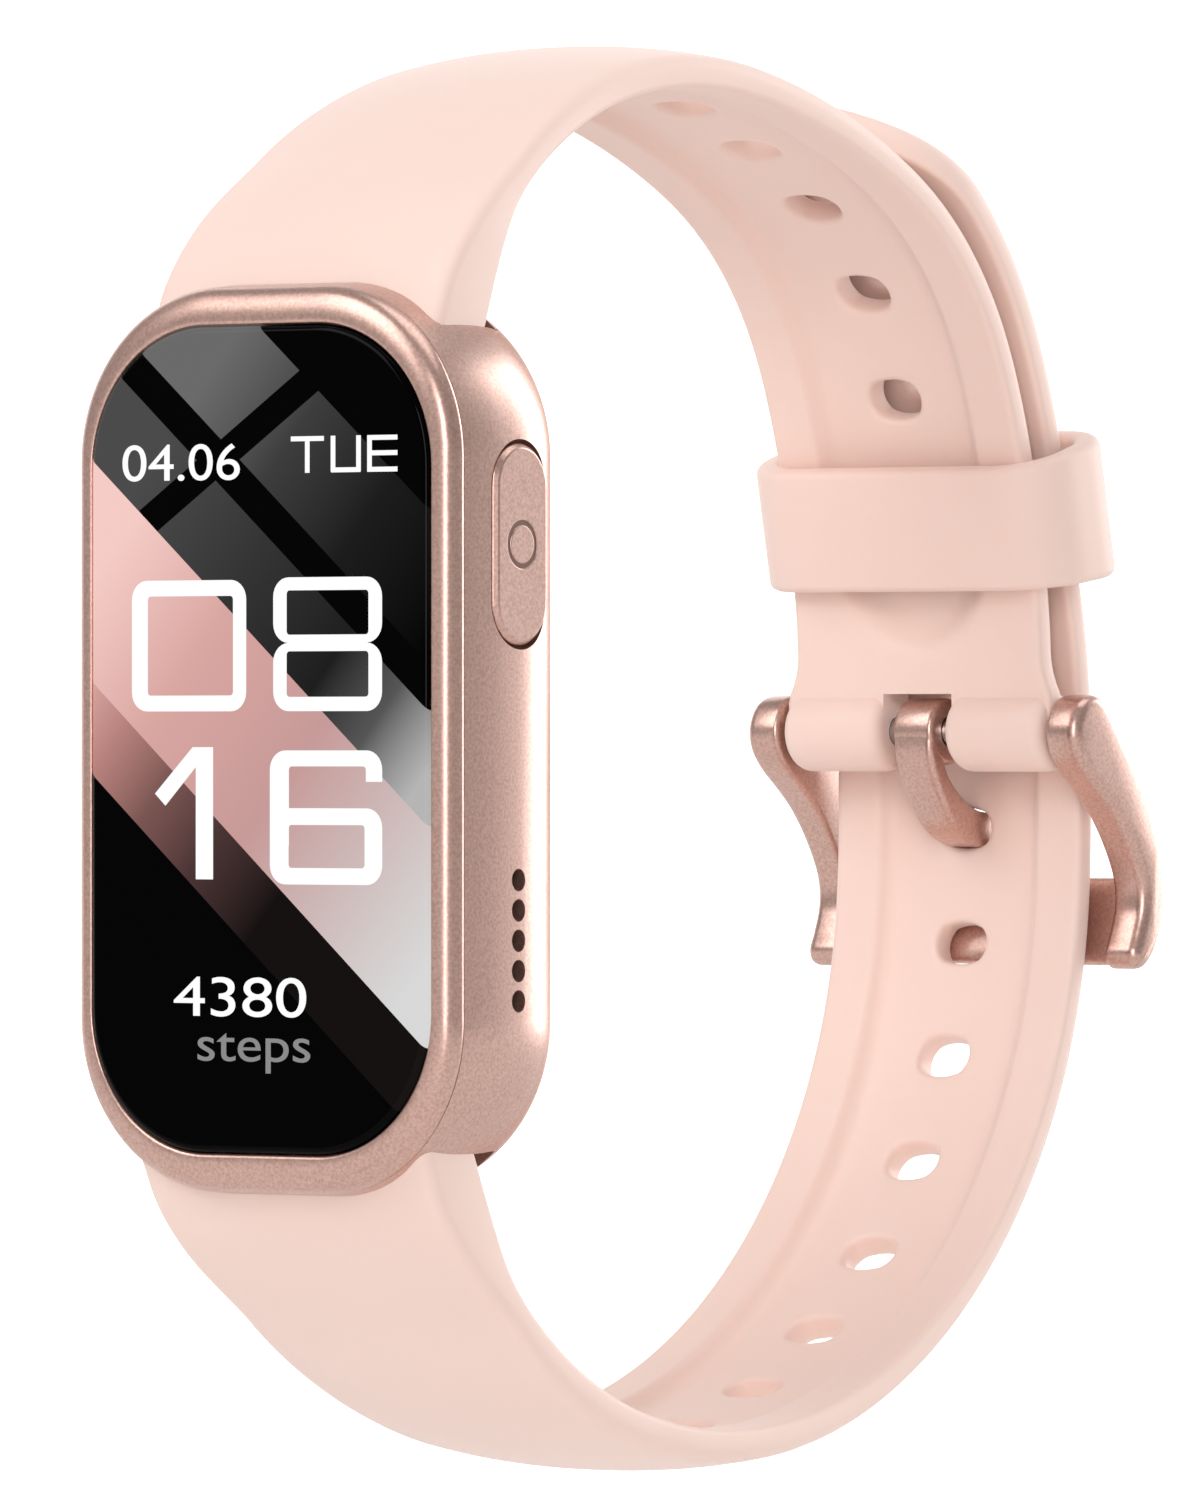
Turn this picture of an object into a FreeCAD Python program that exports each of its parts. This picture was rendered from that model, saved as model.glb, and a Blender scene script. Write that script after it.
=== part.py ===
"""Fitness tracker band: a slim smart band on a closed silicone strap.

Frame: origin on the wrist's axis, +X towards the side button (3 o'clock), +Y from the
screen through the wrist to the buckle, +Z towards 12 o'clock. Millimetres.
The case is laid out in depths behind the glass's front, which lies at Y = glass_front.
"""
import FreeCAD, Part
import math
import os
import re

import Sketcher

Vector = FreeCAD.Vector
doc = FreeCAD.newDocument("FitnessTrackerBand")
sizes = doc.addObject("Spreadsheet::Sheet", "Sizes")

SIZES = (
    ("glass_front", -33.5, "Y of the glass's front face"),
    ("glass_width", 21.1, "cover glass, 3 to 9 o'clock"),
    ("glass_height", 40.6, "cover glass, 12 to 6 o'clock"),
    ("glass_corner", 7.0, "corner radius of the glass"),
    ("glass_thick", 0.9, "glass thickness"),
    ("case_width", 24.0, "case over its sides"),
    ("case_height", 45.0, "case over its ends"),
    ("case_corner", 8.7, "corner radius of the case"),
    ("case_depth", 10.0, "glass front to back of the case"),
    ("back_round", 2.0, "rounding of the case's back edge"),
    ("bezel_round", 0.95, "rounding of the bezel's front edge"),
    ("bezel_front", 0.12, "bezel's front behind the glass's front"),
    ("parting", 1.35, "depth of the joint between bezel and housing"),
    ("fit_gap", 0.05, "gap round fixed pieces"),
    ("recess_floor", 2.7, "depth of the display recess"),
    ("display_thick", 1.35, "display panel thickness"),
    ("cavity_width", 18.0, "inside of the case, X"),
    ("cavity_height", 28.4, "inside of the case, Z"),
    ("cavity_corner", 0.8, "corner radius of the inside"),
    ("cover_depth", 8.8, "depth of the back cover's ledge"),
    ("cover_width", 19.0, "back cover, X"),
    ("cover_height", 33.8, "back cover, Z"),
    ("cover_corner", 4.5, "back cover's corner radius"),
    ("gasket_thick", 0.2, "back gasket thickness"),
    ("lens_diameter", 13.0, "sensor lens"),
    ("lens_rise", 0.6, "sensor lens beyond the case's back"),
    ("board_depth", 3.9, "front face of the main board"),
    ("board_thick", 0.6, "main board thickness"),
    ("screw_across", 7.4, "X of the board screws"),
    ("screw_level", 12.2, "Z of the board screws"),
    ("screw_hole", 0.9, "hole for a board screw"),
    ("button_depth", 5.6, "depth of the button's middle"),
    ("button_level", 9.54, "Z of the button's middle"),
    ("button_length", 10.3, "button recess, Z"),
    ("button_width", 4.7, "button recess, Y"),
    ("button_gap", 0.2, "gap round the button cap"),
    ("button_recess", 1.5, "depth of the button recess, X"),
    ("button_travel", 0.35, "how far the button moves in"),
    ("stem_diameter", 1.5, "button stem"),
    ("stem_gap", 0.06, "radial running gap of the stem"),
    ("ring_outer", 2.35, "outer diameter of the ring mark on the button"),
    ("ring_inner", 1.9, "inner diameter of the ring mark"),
    ("sound_diameter", 1.1, "sound hole"),
    ("sound_pitch", 1.48, "distance between sound holes"),
    ("sound_level", -6.85, "Z of the first sound hole"),
    ("sound_depth", 5.4, "depth of the sound holes' middle"),
    ("pocket_width", 18.2, "strap pocket, X"),
    ("pocket_front", 3.0, "depth of the strap pocket's front wall"),
    ("pocket_back", 7.6, "depth of the strap pocket's back wall"),
    ("pocket_floor", 14.9, "Z of the strap pocket's floor"),
    ("lug_depth", 5.3, "depth of the lug spring bars"),
    ("lug_level", 17.4, "Z of the lug spring bars"),
    ("strap_root_width", 18.0, "strap width at the case"),
    ("strap_mid_width", 16.5, "strap width beside the case's back"),
    ("strap_width", 15.7, "strap width round the back of the wrist"),
    ("strap_thick", 2.2, "strap thickness"),
    ("layer_gap", 0.3, "gap between the two strap layers"),
    ("channel_width", 10.3, "channel along the strap's inner face"),
    ("channel_deep", 0.75, "depth of that channel"),
    ("hole_length", 3.1, "strap hole across the strap"),
    ("hole_width", 2.1, "strap hole along the strap"),
    ("hole_pitch", 5.95, "distance between strap holes"),
    ("tube_diameter", 4.2, "moulded tube at the strap's buckle end"),
    ("tube_length", 16.6, "length of that tube"),
    ("tube_slot", 4.2, "slot for the tang"),
    ("buckle_depth", 56.7, "depth of the buckle's axis"),
    ("buckle_level", 0.47, "Z of the buckle's axis"),
    ("bar_diameter", 1.5, "spring bar tube"),
    ("bar_bore", 1.1, "inside of the spring bar tube"),
    ("tip_diameter", 0.84, "spring bar tip"),
    ("tip_gap", 0.06, "radial gap round a tip"),
    ("tip_travel", 1.1, "how far a tip moves in"),
    ("tang_width", 2.3, "tang"),
    ("tang_thick", 1.15, "tang"),
    ("frame_width", 21.4, "buckle frame over its knuckles"),
    ("knuckle_diameter", 3.8, "buckle frame knuckle"),
    ("arm_thick", 2.1, "buckle frame arm, X"),
    ("keeper_width", 19.7, "keeper loop, outside"),
    ("keeper_wall", 1.35, "keeper loop wall"),
    ("keeper_corner", 3.5, "keeper loop's outer corner radius"),
    ("keeper_inner_corner", 1.2, "keeper loop's inner corner radius"),
    ("keeper_angle", 8.4, "keeper loop's height, as an angle about the strap's centre"),
    ("keeper_start", 7.9, "angle at which the keeper loop begins"),
    ("keeper_gap", 0.32, "gap between the keeper and the strap layers"),
)
for row, (alias, value, note) in enumerate(SIZES, 1):
    sizes.set(f"A{row}", note)
    sizes.set(f"B{row}", str(value))
    sizes.setAlias(f"B{row}", alias)
doc.recompute()

pieces = []


def cells(formula):
    """The formula with each size's name turned into a reference to its cell."""
    return re.sub(r"[a-z][a-z_]+", lambda word: "Sizes." + word.group(), formula)


def size(formula):
    """The value of a formula of sizes."""
    return float(sizes.evalExpression(cells(formula)))


def bind(item, **formulas):
    """Binds properties of an item to formulas of sizes."""
    for name, formula in formulas.items():
        item.setExpression(name.replace("__", "."), cells(formula))


def keep(item, label):
    """Labels an item as a finished piece."""
    item.Label = label
    pieces.append(item)
    return item


# ---- PartDesign helpers: bodies, sketches and their features ----


def case_body(label):
    """A body laid out from the glass's front."""
    body = doc.addObject("PartDesign::Body", label)
    bind(body, Placement__Base__y="glass_front")
    return keep(body, label)


def sketch_on(body, role, across="0", up="0", out="0"):
    """A sketch on one of the body's origin planes, moved by formulas in the plane's own axes."""
    plane = [item for item in body.Origin.OriginFeatures if item.Role == role][0]
    sketch = body.newObject("Sketcher::SketchObject", "Outline")
    sketch.AttachmentSupport = [(plane, "")]
    sketch.MapMode = "FlatFace"
    bind(sketch, AttachmentOffset__Base__x=across, AttachmentOffset__Base__y=up)
    bind(sketch, AttachmentOffset__Base__z=out)
    return sketch


def dimension(sketch, formula, kind, *where):
    """A driving dimension bound to a formula."""
    index = sketch.addConstraint(Sketcher.Constraint(kind, *where, size(formula)))
    sketch.setExpression(f"Constraints[{index}]", cells(formula))


def rectangle(sketch, width, height, corner):
    """A centred rectangle with rounded corners."""
    w, t, r = size(width) / 2, size(height) / 2, size(corner)
    sides = (
        ((-w + r, -t), (w - r, -t)),
        ((w, -t + r), (w, t - r)),
        ((w - r, t), (-w + r, t)),
        ((-w, t - r), (-w, -t + r)),
    )
    for start, end in sides:
        sketch.addGeometry(Part.LineSegment(Vector(*start, 0), Vector(*end, 0)))
    for turn, (x, y) in enumerate(((w - r, -t + r), (w - r, t - r), (-w + r, t - r), (-w + r, -t + r))):
        circle = Part.Circle(Vector(x, y, 0), Vector(0, 0, 1), r)
        first = math.radians(90 * turn - 90)
        sketch.addGeometry(Part.ArcOfCircle(circle, first, first + math.pi / 2))
    rules = [Sketcher.Constraint("Tangent", side, 2, side + 4, 1) for side in range(4)]
    rules += [Sketcher.Constraint("Tangent", side + 4, 2, (side + 1) % 4, 1) for side in range(4)]
    rules += [Sketcher.Constraint("Horizontal", side) for side in (0, 2)]
    rules += [Sketcher.Constraint("Vertical", side) for side in (1, 3)]
    rules += [Sketcher.Constraint("Equal", arc, arc + 1) for arc in (4, 5, 6)]
    rules += [Sketcher.Constraint("Symmetric", 0, 1, 2, 1, -1, 1)]
    sketch.addConstraint(rules)
    dimension(sketch, width, "DistanceX", 3, 1, 1, 1)
    dimension(sketch, height, "DistanceY", 0, 1, 2, 1)
    dimension(sketch, corner, "Radius", 4)


def circle(sketch, diameter):
    """A circle about the sketch's origin."""
    index = sketch.addGeometry(Part.Circle(Vector(), Vector(0, 0, 1), size(diameter) / 2))
    sketch.addConstraint(Sketcher.Constraint("Coincident", index, 3, -1, 1))
    dimension(sketch, diameter, "Diameter", index)


def slot(sketch, width, height):
    """An upright slot with round ends about the sketch's origin."""
    r = size(width) / 2
    top = size(height) / 2 - r
    for level, first in ((top, 0), (-top, math.pi)):
        bend = Part.Circle(Vector(0, level, 0), Vector(0, 0, 1), r)
        sketch.addGeometry(Part.ArcOfCircle(bend, first, first + math.pi))
    sketch.addGeometry(Part.LineSegment(Vector(-r, top, 0), Vector(-r, -top, 0)))
    sketch.addGeometry(Part.LineSegment(Vector(r, -top, 0), Vector(r, top, 0)))
    rules = [Sketcher.Constraint("Tangent", 0, 2, 2, 1), Sketcher.Constraint("Tangent", 2, 2, 1, 1)]
    rules += [Sketcher.Constraint("Tangent", 1, 2, 3, 1), Sketcher.Constraint("Tangent", 3, 2, 0, 1)]
    rules += [Sketcher.Constraint("Vertical", 2), Sketcher.Constraint("Equal", 0, 1)]
    rules += [Sketcher.Constraint("Symmetric", 0, 3, 1, 3, -1, 1)]
    sketch.addConstraint(rules)
    dimension(sketch, f"({width}) / 2", "Radius", 0)
    dimension(sketch, f"({height}) - ({width})", "DistanceY", 1, 3, 0, 3)


def pad(body, sketch, length, reverse=False):
    """Raises a sketch; on the XZ plane reverse=True raises it towards the wrist."""
    feature = body.newObject("PartDesign::Pad", "Pad")
    feature.Profile = sketch
    feature.Reversed = reverse
    bind(feature, Length=length)
    return feature


def pocket(body, sketch, length, both_ways=False):
    """Cuts a sketch away: towards the wrist from the XZ plane, and inwards from the YZ plane."""
    feature = body.newObject("PartDesign::Pocket", "Pocket")
    feature.Profile = sketch
    feature.Midplane = both_ways
    bind(feature, Length=length)
    return feature


def round_edges(body, feature, radius, depth):
    """Rounds the edges that lie flat at one depth behind the glass's front."""
    doc.recompute()
    level = size(depth)
    names = []
    for number, edge in enumerate(feature.Shape.Edges, 1):
        span = edge.BoundBox
        if abs(span.YMin - level) < 1e-4 and abs(span.YMax - level) < 1e-4:
            names.append(f"Edge{number}")
    fillet = body.newObject("PartDesign::Fillet", "Round")
    fillet.Base = (feature, names)
    bind(fillet, Radius=radius)
    return fillet


def plate(label, width, height, corner, front, thick):
    """A rounded rectangular plate between two depths."""
    body = case_body(label)
    outline = sketch_on(body, "XZ_Plane", out=f"-({front})")
    rectangle(outline, width, height, corner)
    pad(body, outline, thick, reverse=True)
    return body


def cut_plate(body, width, height, corner, front, thick, across="0", up="0"):
    """Cuts a rounded rectangle from a body, from one depth for a length."""
    outline = sketch_on(body, "XZ_Plane", across, up, f"-({front})")
    rectangle(outline, width, height, corner)
    return pocket(body, outline, thick)


def cut_round(body, diameter, front, thick, across="0", up="0"):
    """Drills a round hole along Y, from one depth for a length."""
    outline = sketch_on(body, "XZ_Plane", across, up, f"-({front})")
    circle(outline, diameter)
    return pocket(body, outline, thick)


# ---- Part helpers: primitives and booleans ----


def block(label, low, high):
    """A box between two corners, each given as three formulas; Y is a depth."""
    item = doc.addObject("Part::Box", label)
    spans = [f"({far}) - ({near})" for near, far in zip(low, high)]
    bind(item, Length=spans[0], Width=spans[1], Height=spans[2])
    bind(item, Placement__Base__x=low[0], Placement__Base__y=f"glass_front + {low[1]}")
    bind(item, Placement__Base__z=low[2])
    return item


AXES = {
    "x": FreeCAD.Rotation(Vector(0, 1, 0), 90),
    "-x": FreeCAD.Rotation(Vector(0, 1, 0), -90),
    "y": FreeCAD.Rotation(Vector(1, 0, 0), -90),
}


def rod(label, diameter, length, x, depth, z, axis="x"):
    """A cylinder from a point along an axis."""
    item = doc.addObject("Part::Cylinder", label)
    item.Placement = FreeCAD.Placement(Vector(), AXES[axis])
    bind(item, Radius=f"({diameter}) / 2", Height=length)
    bind(item, Placement__Base__x=x, Placement__Base__y=f"glass_front + {depth}")
    bind(item, Placement__Base__z=z)
    return item


def cut(label, base, tool):
    """Base less tool."""
    item = doc.addObject("Part::Cut", label)
    item.Base = base
    item.Tool = tool
    return item


def fuse(label, *shapes):
    """The shapes as one."""
    item = doc.addObject("Part::MultiFuse", label)
    item.Shapes = list(shapes)
    return item


def made(label, shape):
    """A piece whose shape is worked out below."""
    item = doc.addObject("Part::Feature", label)
    item.Shape = shape
    return keep(item, label)


# ---- Case: housing, bezel, glass, display ----


def case_housing():
    """The metal shell: display recess, cavity, strap pockets, button recess and sound holes."""
    body = case_body("case_housing")
    outline = sketch_on(body, "XZ_Plane", out="-parting")
    rectangle(outline, "case_width", "case_height", "case_corner")
    shell = pad(body, outline, "case_depth - parting", reverse=True)
    round_edges(body, shell, "back_round", "case_depth")
    cut_plate(
        body, "glass_width - 0.1", "glass_height - 0.1", "glass_corner", "parting", "recess_floor - parting"
    )
    cut_plate(
        body, "cavity_width", "cavity_height", "cavity_corner", "recess_floor", "cover_depth - recess_floor"
    )
    cut_plate(
        body,
        "cover_width + 2 * fit_gap",
        "cover_height + 2 * fit_gap",
        "cover_corner",
        "cover_depth",
        "case_depth - cover_depth",
    )
    for side in ("", "-"):
        cut_plate(
            body,
            "pocket_width",
            "case_height / 2 - pocket_floor + 1",
            "0.3",
            "pocket_front",
            "pocket_back - pocket_front",
            up=f"{side}(case_height / 2 + pocket_floor + 1) / 2",
        )
        bore = sketch_on(body, "YZ_Plane", "lug_depth", f"{side}lug_level")
        circle(bore, "tip_diameter + 2 * tip_gap")
        pocket(body, bore, "pocket_width + 2.3", both_ways=True)
    recess = sketch_on(body, "YZ_Plane", "button_depth", "button_level", "case_width / 2")
    slot(recess, "button_width", "button_length")
    pocket(body, recess, "button_recess")
    seat = sketch_on(body, "YZ_Plane", "button_depth", "button_level", "case_width / 2")
    circle(seat, "stem_diameter + 1.2")
    pocket(body, seat, "button_recess + 0.6")
    bore = sketch_on(body, "YZ_Plane", "button_depth", "button_level", "case_width / 2")
    circle(bore, "stem_diameter + 2 * stem_gap")
    pocket(body, bore, "(case_width - cavity_width) / 2 + 0.5")
    bore = sketch_on(body, "YZ_Plane", "sound_depth", "sound_level", "case_width / 2")
    circle(bore, "sound_diameter")
    first = pocket(body, bore, "(case_width - cavity_width) / 2 + 0.5")
    row = body.newObject("PartDesign::LinearPattern", "SoundHoles")
    row.Originals = [first]
    row.Direction = (bore, ["V_Axis"])
    row.Reversed = True
    row.Occurrences = 5
    bind(row, Length="4 * sound_pitch")
    body.Tip = row


def front_bezel():
    """The ring that frames the glass, with a rounded shoulder."""
    body = case_body("front_bezel")
    outline = sketch_on(body, "XZ_Plane", out="-bezel_front")
    rectangle(outline, "case_width", "case_height", "case_corner")
    ring = pad(body, outline, "parting - bezel_front", reverse=True)
    round_edges(body, ring, "bezel_round", "bezel_front")
    cut_plate(
        body,
        "glass_width + 2 * fit_gap",
        "glass_height + 2 * fit_gap",
        "glass_corner + fit_gap",
        "0",
        "parting + 1",
    )


def cover_glass():
    """The glass, with a softened front edge."""
    body = plate("cover_glass", "glass_width", "glass_height", "glass_corner", "0", "glass_thick")
    round_edges(body, body.Tip, "0.35", "0")


def back_cover():
    """The plastic back, with openings for the lens and the two contacts."""
    front = "cover_depth + gasket_thick"
    thick = f"case_depth - ({front})"
    body = plate("back_cover", "cover_width", "cover_height", "cover_corner", front, thick)
    cut_round(body, "lens_diameter", "cover_depth", "3")
    for side in ("", "-"):
        cut_round(body, "1.8", "cover_depth", "3", f"{side}2.2", "-12")


def back_gasket():
    """The seal under the back cover."""
    body = plate("back_gasket", "cover_width", "cover_height", "cover_corner", "cover_depth", "gasket_thick")
    cut_plate(body, "cavity_width", "cavity_height", "cavity_corner", "cover_depth - 1", "3")


SCREW_PLACES = [(f"{a}screw_across", f"{b}screw_level") for a in ("", "-") for b in ("", "-")]


def inner_chassis():
    """The plate behind the display, with four bosses for the board."""
    depth = "recess_floor + 0.05"
    body = plate(
        "inner_chassis", "cavity_width - 0.1", "cavity_height - 0.1", "cavity_corner - 0.05", depth, "0.55"
    )
    for x, z in SCREW_PLACES:
        boss = sketch_on(body, "XZ_Plane", x, z, f"-({depth} + 0.55)")
        circle(boss, "2.2")
        pad(body, boss, f"board_depth - ({depth} + 0.55)", reverse=True)
        cut_round(body, "screw_hole", "0", "board_depth", x, z)
    cut_plate(body, "7", "2", "0.4", "0", "board_depth", up="-11")


def main_board():
    """The circuit board, with holes for its screws."""
    body = plate("main_board", "cavity_width - 0.6", "cavity_height - 2", "1.5", "board_depth", "board_thick")
    for x, z in SCREW_PLACES:
        cut_round(body, "screw_hole", "board_depth - 1", "3", x, z)


def button_cap():
    """The button: a slot-shaped cap with a ring mark."""
    body = case_body("button_cap")
    across = ("button_depth", "button_level")
    outline = sketch_on(body, "YZ_Plane", *across, "case_width / 2 - button_recess + button_travel + 0.1")
    slot(outline, "button_width - 2 * button_gap", "button_length - 2 * button_gap")
    cap = pad(body, outline, "button_recess - button_travel")
    doc.recompute()
    top = size("case_width / 2 + 0.1")
    rims = []
    for number, edge in enumerate(cap.Shape.Edges, 1):
        if abs(edge.BoundBox.XMin - top) < 1e-4:
            rims.append(f"Edge{number}")
    bevel = body.newObject("PartDesign::Chamfer", "Bevel")
    bevel.Base = (cap, rims)
    bevel.Size = 0.25
    mark = sketch_on(body, "YZ_Plane", *across, "case_width / 2 + 0.1")
    circle(mark, "ring_outer")
    circle(mark, "ring_inner")
    pocket(body, mark, "0.15")


case_housing()
front_bezel()
cover_glass()
plate(
    "display_panel",
    "glass_width - 0.9",
    "glass_height - 0.9",
    "glass_corner - 0.4",
    "glass_thick + 0.05",
    "display_thick",
)
inner_chassis()
main_board()
back_gasket()
back_cover()
button_cap()


# ---- Electronics ----


def board_screws():
    """Four small screws that hold the board to the chassis."""
    solids = []
    for x, z in SCREW_PLACES:
        shank = rod("Shank", "0.8", "board_depth + board_thick - 3", x, "3", z, "y")
        head = rod("Head", "1.6", "0.45", x, "board_depth + board_thick", z, "y")
        solids.append(fuse("Screw", shank, head))
    group = doc.addObject("Part::Compound", "board_screws")
    group.Links = solids
    keep(group, "board_screws")


def shield_can():
    """A thin metal lid over the processor."""
    back = "board_depth + board_thick"
    lid = block("Lid", ("-8.2", back, "0.5"), ("0.8", f"{back} + 1", "10"))
    inside = block("Inside", ("-8.05", back, "0.65"), ("0.65", f"{back} + 0.85", "9.85"))
    keep(cut("shield_can", lid, inside), "shield_can")


def display_flex():
    """The ribbon from the display, through the chassis, to the board."""
    strip = block("Strip", ("-3", "2.4", "-9"), ("3", "2.52", "-5"))
    run = block("Run", ("-3", "2.4", "-11"), ("3", "2.52", "-9"))
    drop = block("Drop", ("-3", "2.4", "-11.12"), ("3", "3.88", "-11"))
    foot = block("Foot", ("-3", "3.76", "-11.9"), ("3", "3.88", "-11.12"))
    keep(fuse("display_flex", strip, run, drop, foot), "display_flex")


def sensor_leds():
    """Two light sources and a detector behind the lens."""
    solids = []
    for z in ("-3.6", "-0.8", "2"):
        solids.append(block("Chip", ("-0.8", "8.75", z), ("0.8", "9.15", f"{z} + 1.6")))
    group = doc.addObject("Part::Compound", "sensor_leds")
    group.Links = solids
    keep(group, "sensor_leds")


def charging_contacts():
    """Two gold pads in the back cover."""
    solids = []
    for x in ("2.2", "-2.2"):
        solids.append(rod("Contact", "1.78", "case_depth + 0.05 - 9", x, "9", "-12", "y"))
    group = doc.addObject("Part::Compound", "charging_contacts")
    group.Links = solids
    keep(group, "charging_contacts")


board_screws()
shield_can()
display_flex()
keep(block("battery_cell", ("-8.7", "5.65", "-5.5"), ("5.7", "8.15", "13.4")), "battery_cell")
keep(rod("vibration_motor", "6.4", "2.2", "-4.9", "5", "-9.6", "y"), "vibration_motor")
keep(block("speaker_unit", ("5.9", "5", "-13.6"), ("8.7", "6.9", "-6")), "speaker_unit")
keep(block("speaker_mesh", ("8.72", "4.6", "-13.45"), ("8.95", "6.4", "-6.1")), "speaker_mesh")
keep(block("tact_switch", ("6.2", "4.5", "8.3"), ("8.08", "6.7", "10.8")), "tact_switch")
keep(block("antenna_strip", ("-6", "5.2", "13.8"), ("6", "8.2", "14")), "antenna_strip")
keep(block("sensor_board", ("-7", "8.25", "-6.5"), ("7", "8.75", "6.5")), "sensor_board")
sensor_leds()
charging_contacts()
lens_thick = "case_depth + lens_rise - 9.2"
keep(rod("sensor_lens", "lens_diameter - 0.02", lens_thick, "0", "9.2", "0", "y"), "sensor_lens")

# ---- Button works ----

STEM_END = "cavity_width / 2 - 0.5"
CAP_BACK = "case_width / 2 - button_recess + button_travel + 0.1"
stem_length = f"({CAP_BACK}) - ({STEM_END})"
stem = rod("button_stem", "stem_diameter", stem_length, STEM_END, "button_depth", "button_level")
keep(stem, "button_stem")
ring = doc.addObject("Part::Torus", "button_seal")
ring.Placement = FreeCAD.Placement(Vector(), AXES["x"])
bind(ring, Radius1="stem_diameter / 2 + 0.3", Radius2="0.23")
bind(ring, Placement__Base__x="case_width / 2 - button_recess - 0.3")
bind(ring, Placement__Base__y="glass_front + button_depth", Placement__Base__z="button_level")
keep(ring, "button_seal")
clip_at = ("cavity_width / 2 - 0.35", "button_depth", "button_level")
clip = cut("button_clip", rod("Disc", "2.1", "0.3", *clip_at), rod("Eye", "stem_diameter", "0.3", *clip_at))
keep(clip, "button_clip")

# ---- Spring bars ----


def spring_bar(name, half, reach, depth, level):
    """A spring bar along X: a tube, two tips and the spring between them."""
    outer = rod("Outer", "bar_diameter", f"2 * ({half})", f"-({half})", depth, level)
    bore = rod("Bore", "bar_bore", f"2 * ({half}) - 0.5", f"0.25 - ({half})", depth, level)
    hole = rod("TipHole", "tip_diameter + 0.1", f"2 * ({half})", f"-({half})", depth, level)
    keep(cut(f"{name}_tube", cut("Hollow", outer, bore), hole), f"{name}_tube")
    for side, sign, axis in (("right", "", "x"), ("left", "-", "-x")):
        start = f"{sign}(({half}) - 2.2)"
        shoulder = rod("Shoulder", "bar_bore - 0.1", "1.9", start, depth, level, axis)
        tip = rod("Tip", "tip_diameter", f"({reach}) - ({half}) + 2.2", start, depth, level, axis)
        keep(fuse(f"{name}_{side}_tip", shoulder, tip), f"{name}_{side}_tip")
    length = 2 * (size(half) - 2.35)
    coil = size("bar_bore") / 2 - 0.16
    turns = Part.makeHelix(length / 10, length, coil)
    wire = Part.Wire(Part.Circle(Vector(coil, 0, 0), Vector(0, 1, 0), 0.09).toShape())
    spring = Part.Wire(turns.Edges).makePipeShell([wire], True, True)
    item = made(f"{name}_spring", spring)
    centre = Vector(-length / 2, size(f"glass_front + {depth}"), size(level))
    item.Placement = FreeCAD.Placement(centre, AXES["x"])


LUG_HALF = "strap_root_width / 2 - 0.4"
LUG_REACH = "pocket_width / 2 + 1.05"
spring_bar("upper_bar", LUG_HALF, LUG_REACH, "lug_depth", "lug_level")
spring_bar("lower_bar", LUG_HALF, LUG_REACH, "lug_depth", "-lug_level")
FRAME_INNER = "frame_width / 2 - arm_thick"
spring_bar("buckle_bar", "tube_length / 2 - 0.4", f"{FRAME_INNER} + 1", "buckle_depth", "buckle_level")

# ---- Strap: paths of tangent arcs in the YZ plane, each arc a radius and a turn ----

UPPER_START = (8.0, 23.6)
UPPER_HEADING = 69.0
UPPER_ARCS = ((9.0, 31.0), (25.6, 46.3), (43.9, 18.7), (17.7, 40.1), (45.6, 21.2))
LOWER_START = (7.4, -23.7)
LOWER_HEADING = -65.0
LOWER_ARCS = (
    (12.0, 25.0),
    (29.67, 92.0),
    (28.0, 32.0),
    (42.6, 6.0),
    (400.0, 0.89),
    (20.0, 10.65),
    (400.0, 1.0),
)


def at(depth, level, x=0.0):
    """A point from its depth behind the glass and its level."""
    return Vector(x, size("glass_front") + depth, level)


class Path:
    """A line of tangent arcs; side is +1 where it turns to the right and -1 to the left."""

    def __init__(self, start, heading, arcs, side):
        self.side = side
        self.pieces = []
        y, z = start
        angle = math.radians(heading)
        for radius, turn in arcs:
            turn = math.radians(turn)
            if radius:
                cy = y + side * radius * math.sin(angle)
                cz = z - side * radius * math.cos(angle)
                self.pieces.append((radius, turn, angle, cy, cz))
                angle -= side * turn
                y = cy - side * radius * math.sin(angle)
                z = cz + side * radius * math.cos(angle)
        self.end = (y, z, angle)

    def spot(self, index, part, off):
        """The point a part of the way along an arc, off it on the outer side, and its heading."""
        radius, turn, first, cy, cz = self.pieces[index]
        angle = first - self.side * turn * part
        reach = radius + off
        return cy - self.side * reach * math.sin(angle), cz + self.side * reach * math.cos(angle), angle

    def edges(self, off, first=0, last=None):
        """The arcs as edges, moved out by off."""
        chosen = range(first, len(self.pieces) if last is None else last)
        found = []
        for index in chosen:
            ends = [at(*self.spot(index, part, off)[:2]) for part in (0.0, 0.5, 1.0)]
            found.append(Part.Arc(*ends).toShape())
        return found

    def along(self, distance):
        """The point and heading at a distance from the start, on the path itself."""
        for index, (radius, turn, *_) in enumerate(self.pieces):
            if distance <= radius * turn or index == len(self.pieces) - 1:
                return self.spot(index, distance / (radius * turn), 0.0)
            distance -= radius * turn


def closed_face(runs):
    """A face bounded by runs of edges and the straight lines that join them."""
    edges = []
    for number, run in enumerate(runs):
        edges += run
        here = run[-1].lastVertex(True).Point
        there = runs[(number + 1) % len(runs)][0].firstVertex(True).Point
        if here.distanceToPoint(there) > 1e-6:
            edges.append(Part.LineSegment(here, there).toShape())
    return Part.Face(Part.Wire(Part.__sortEdges__(edges)))


def turned(edges):
    """A run of edges taken from its far end."""
    found = []
    for edge in reversed(edges):
        first, last = edge.firstVertex().Point, edge.lastVertex().Point
        middle = edge.valueAt((edge.FirstParameter + edge.LastParameter) / 2)
        found.append(Part.Arc(last, middle, first).toShape())
    return found


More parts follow.
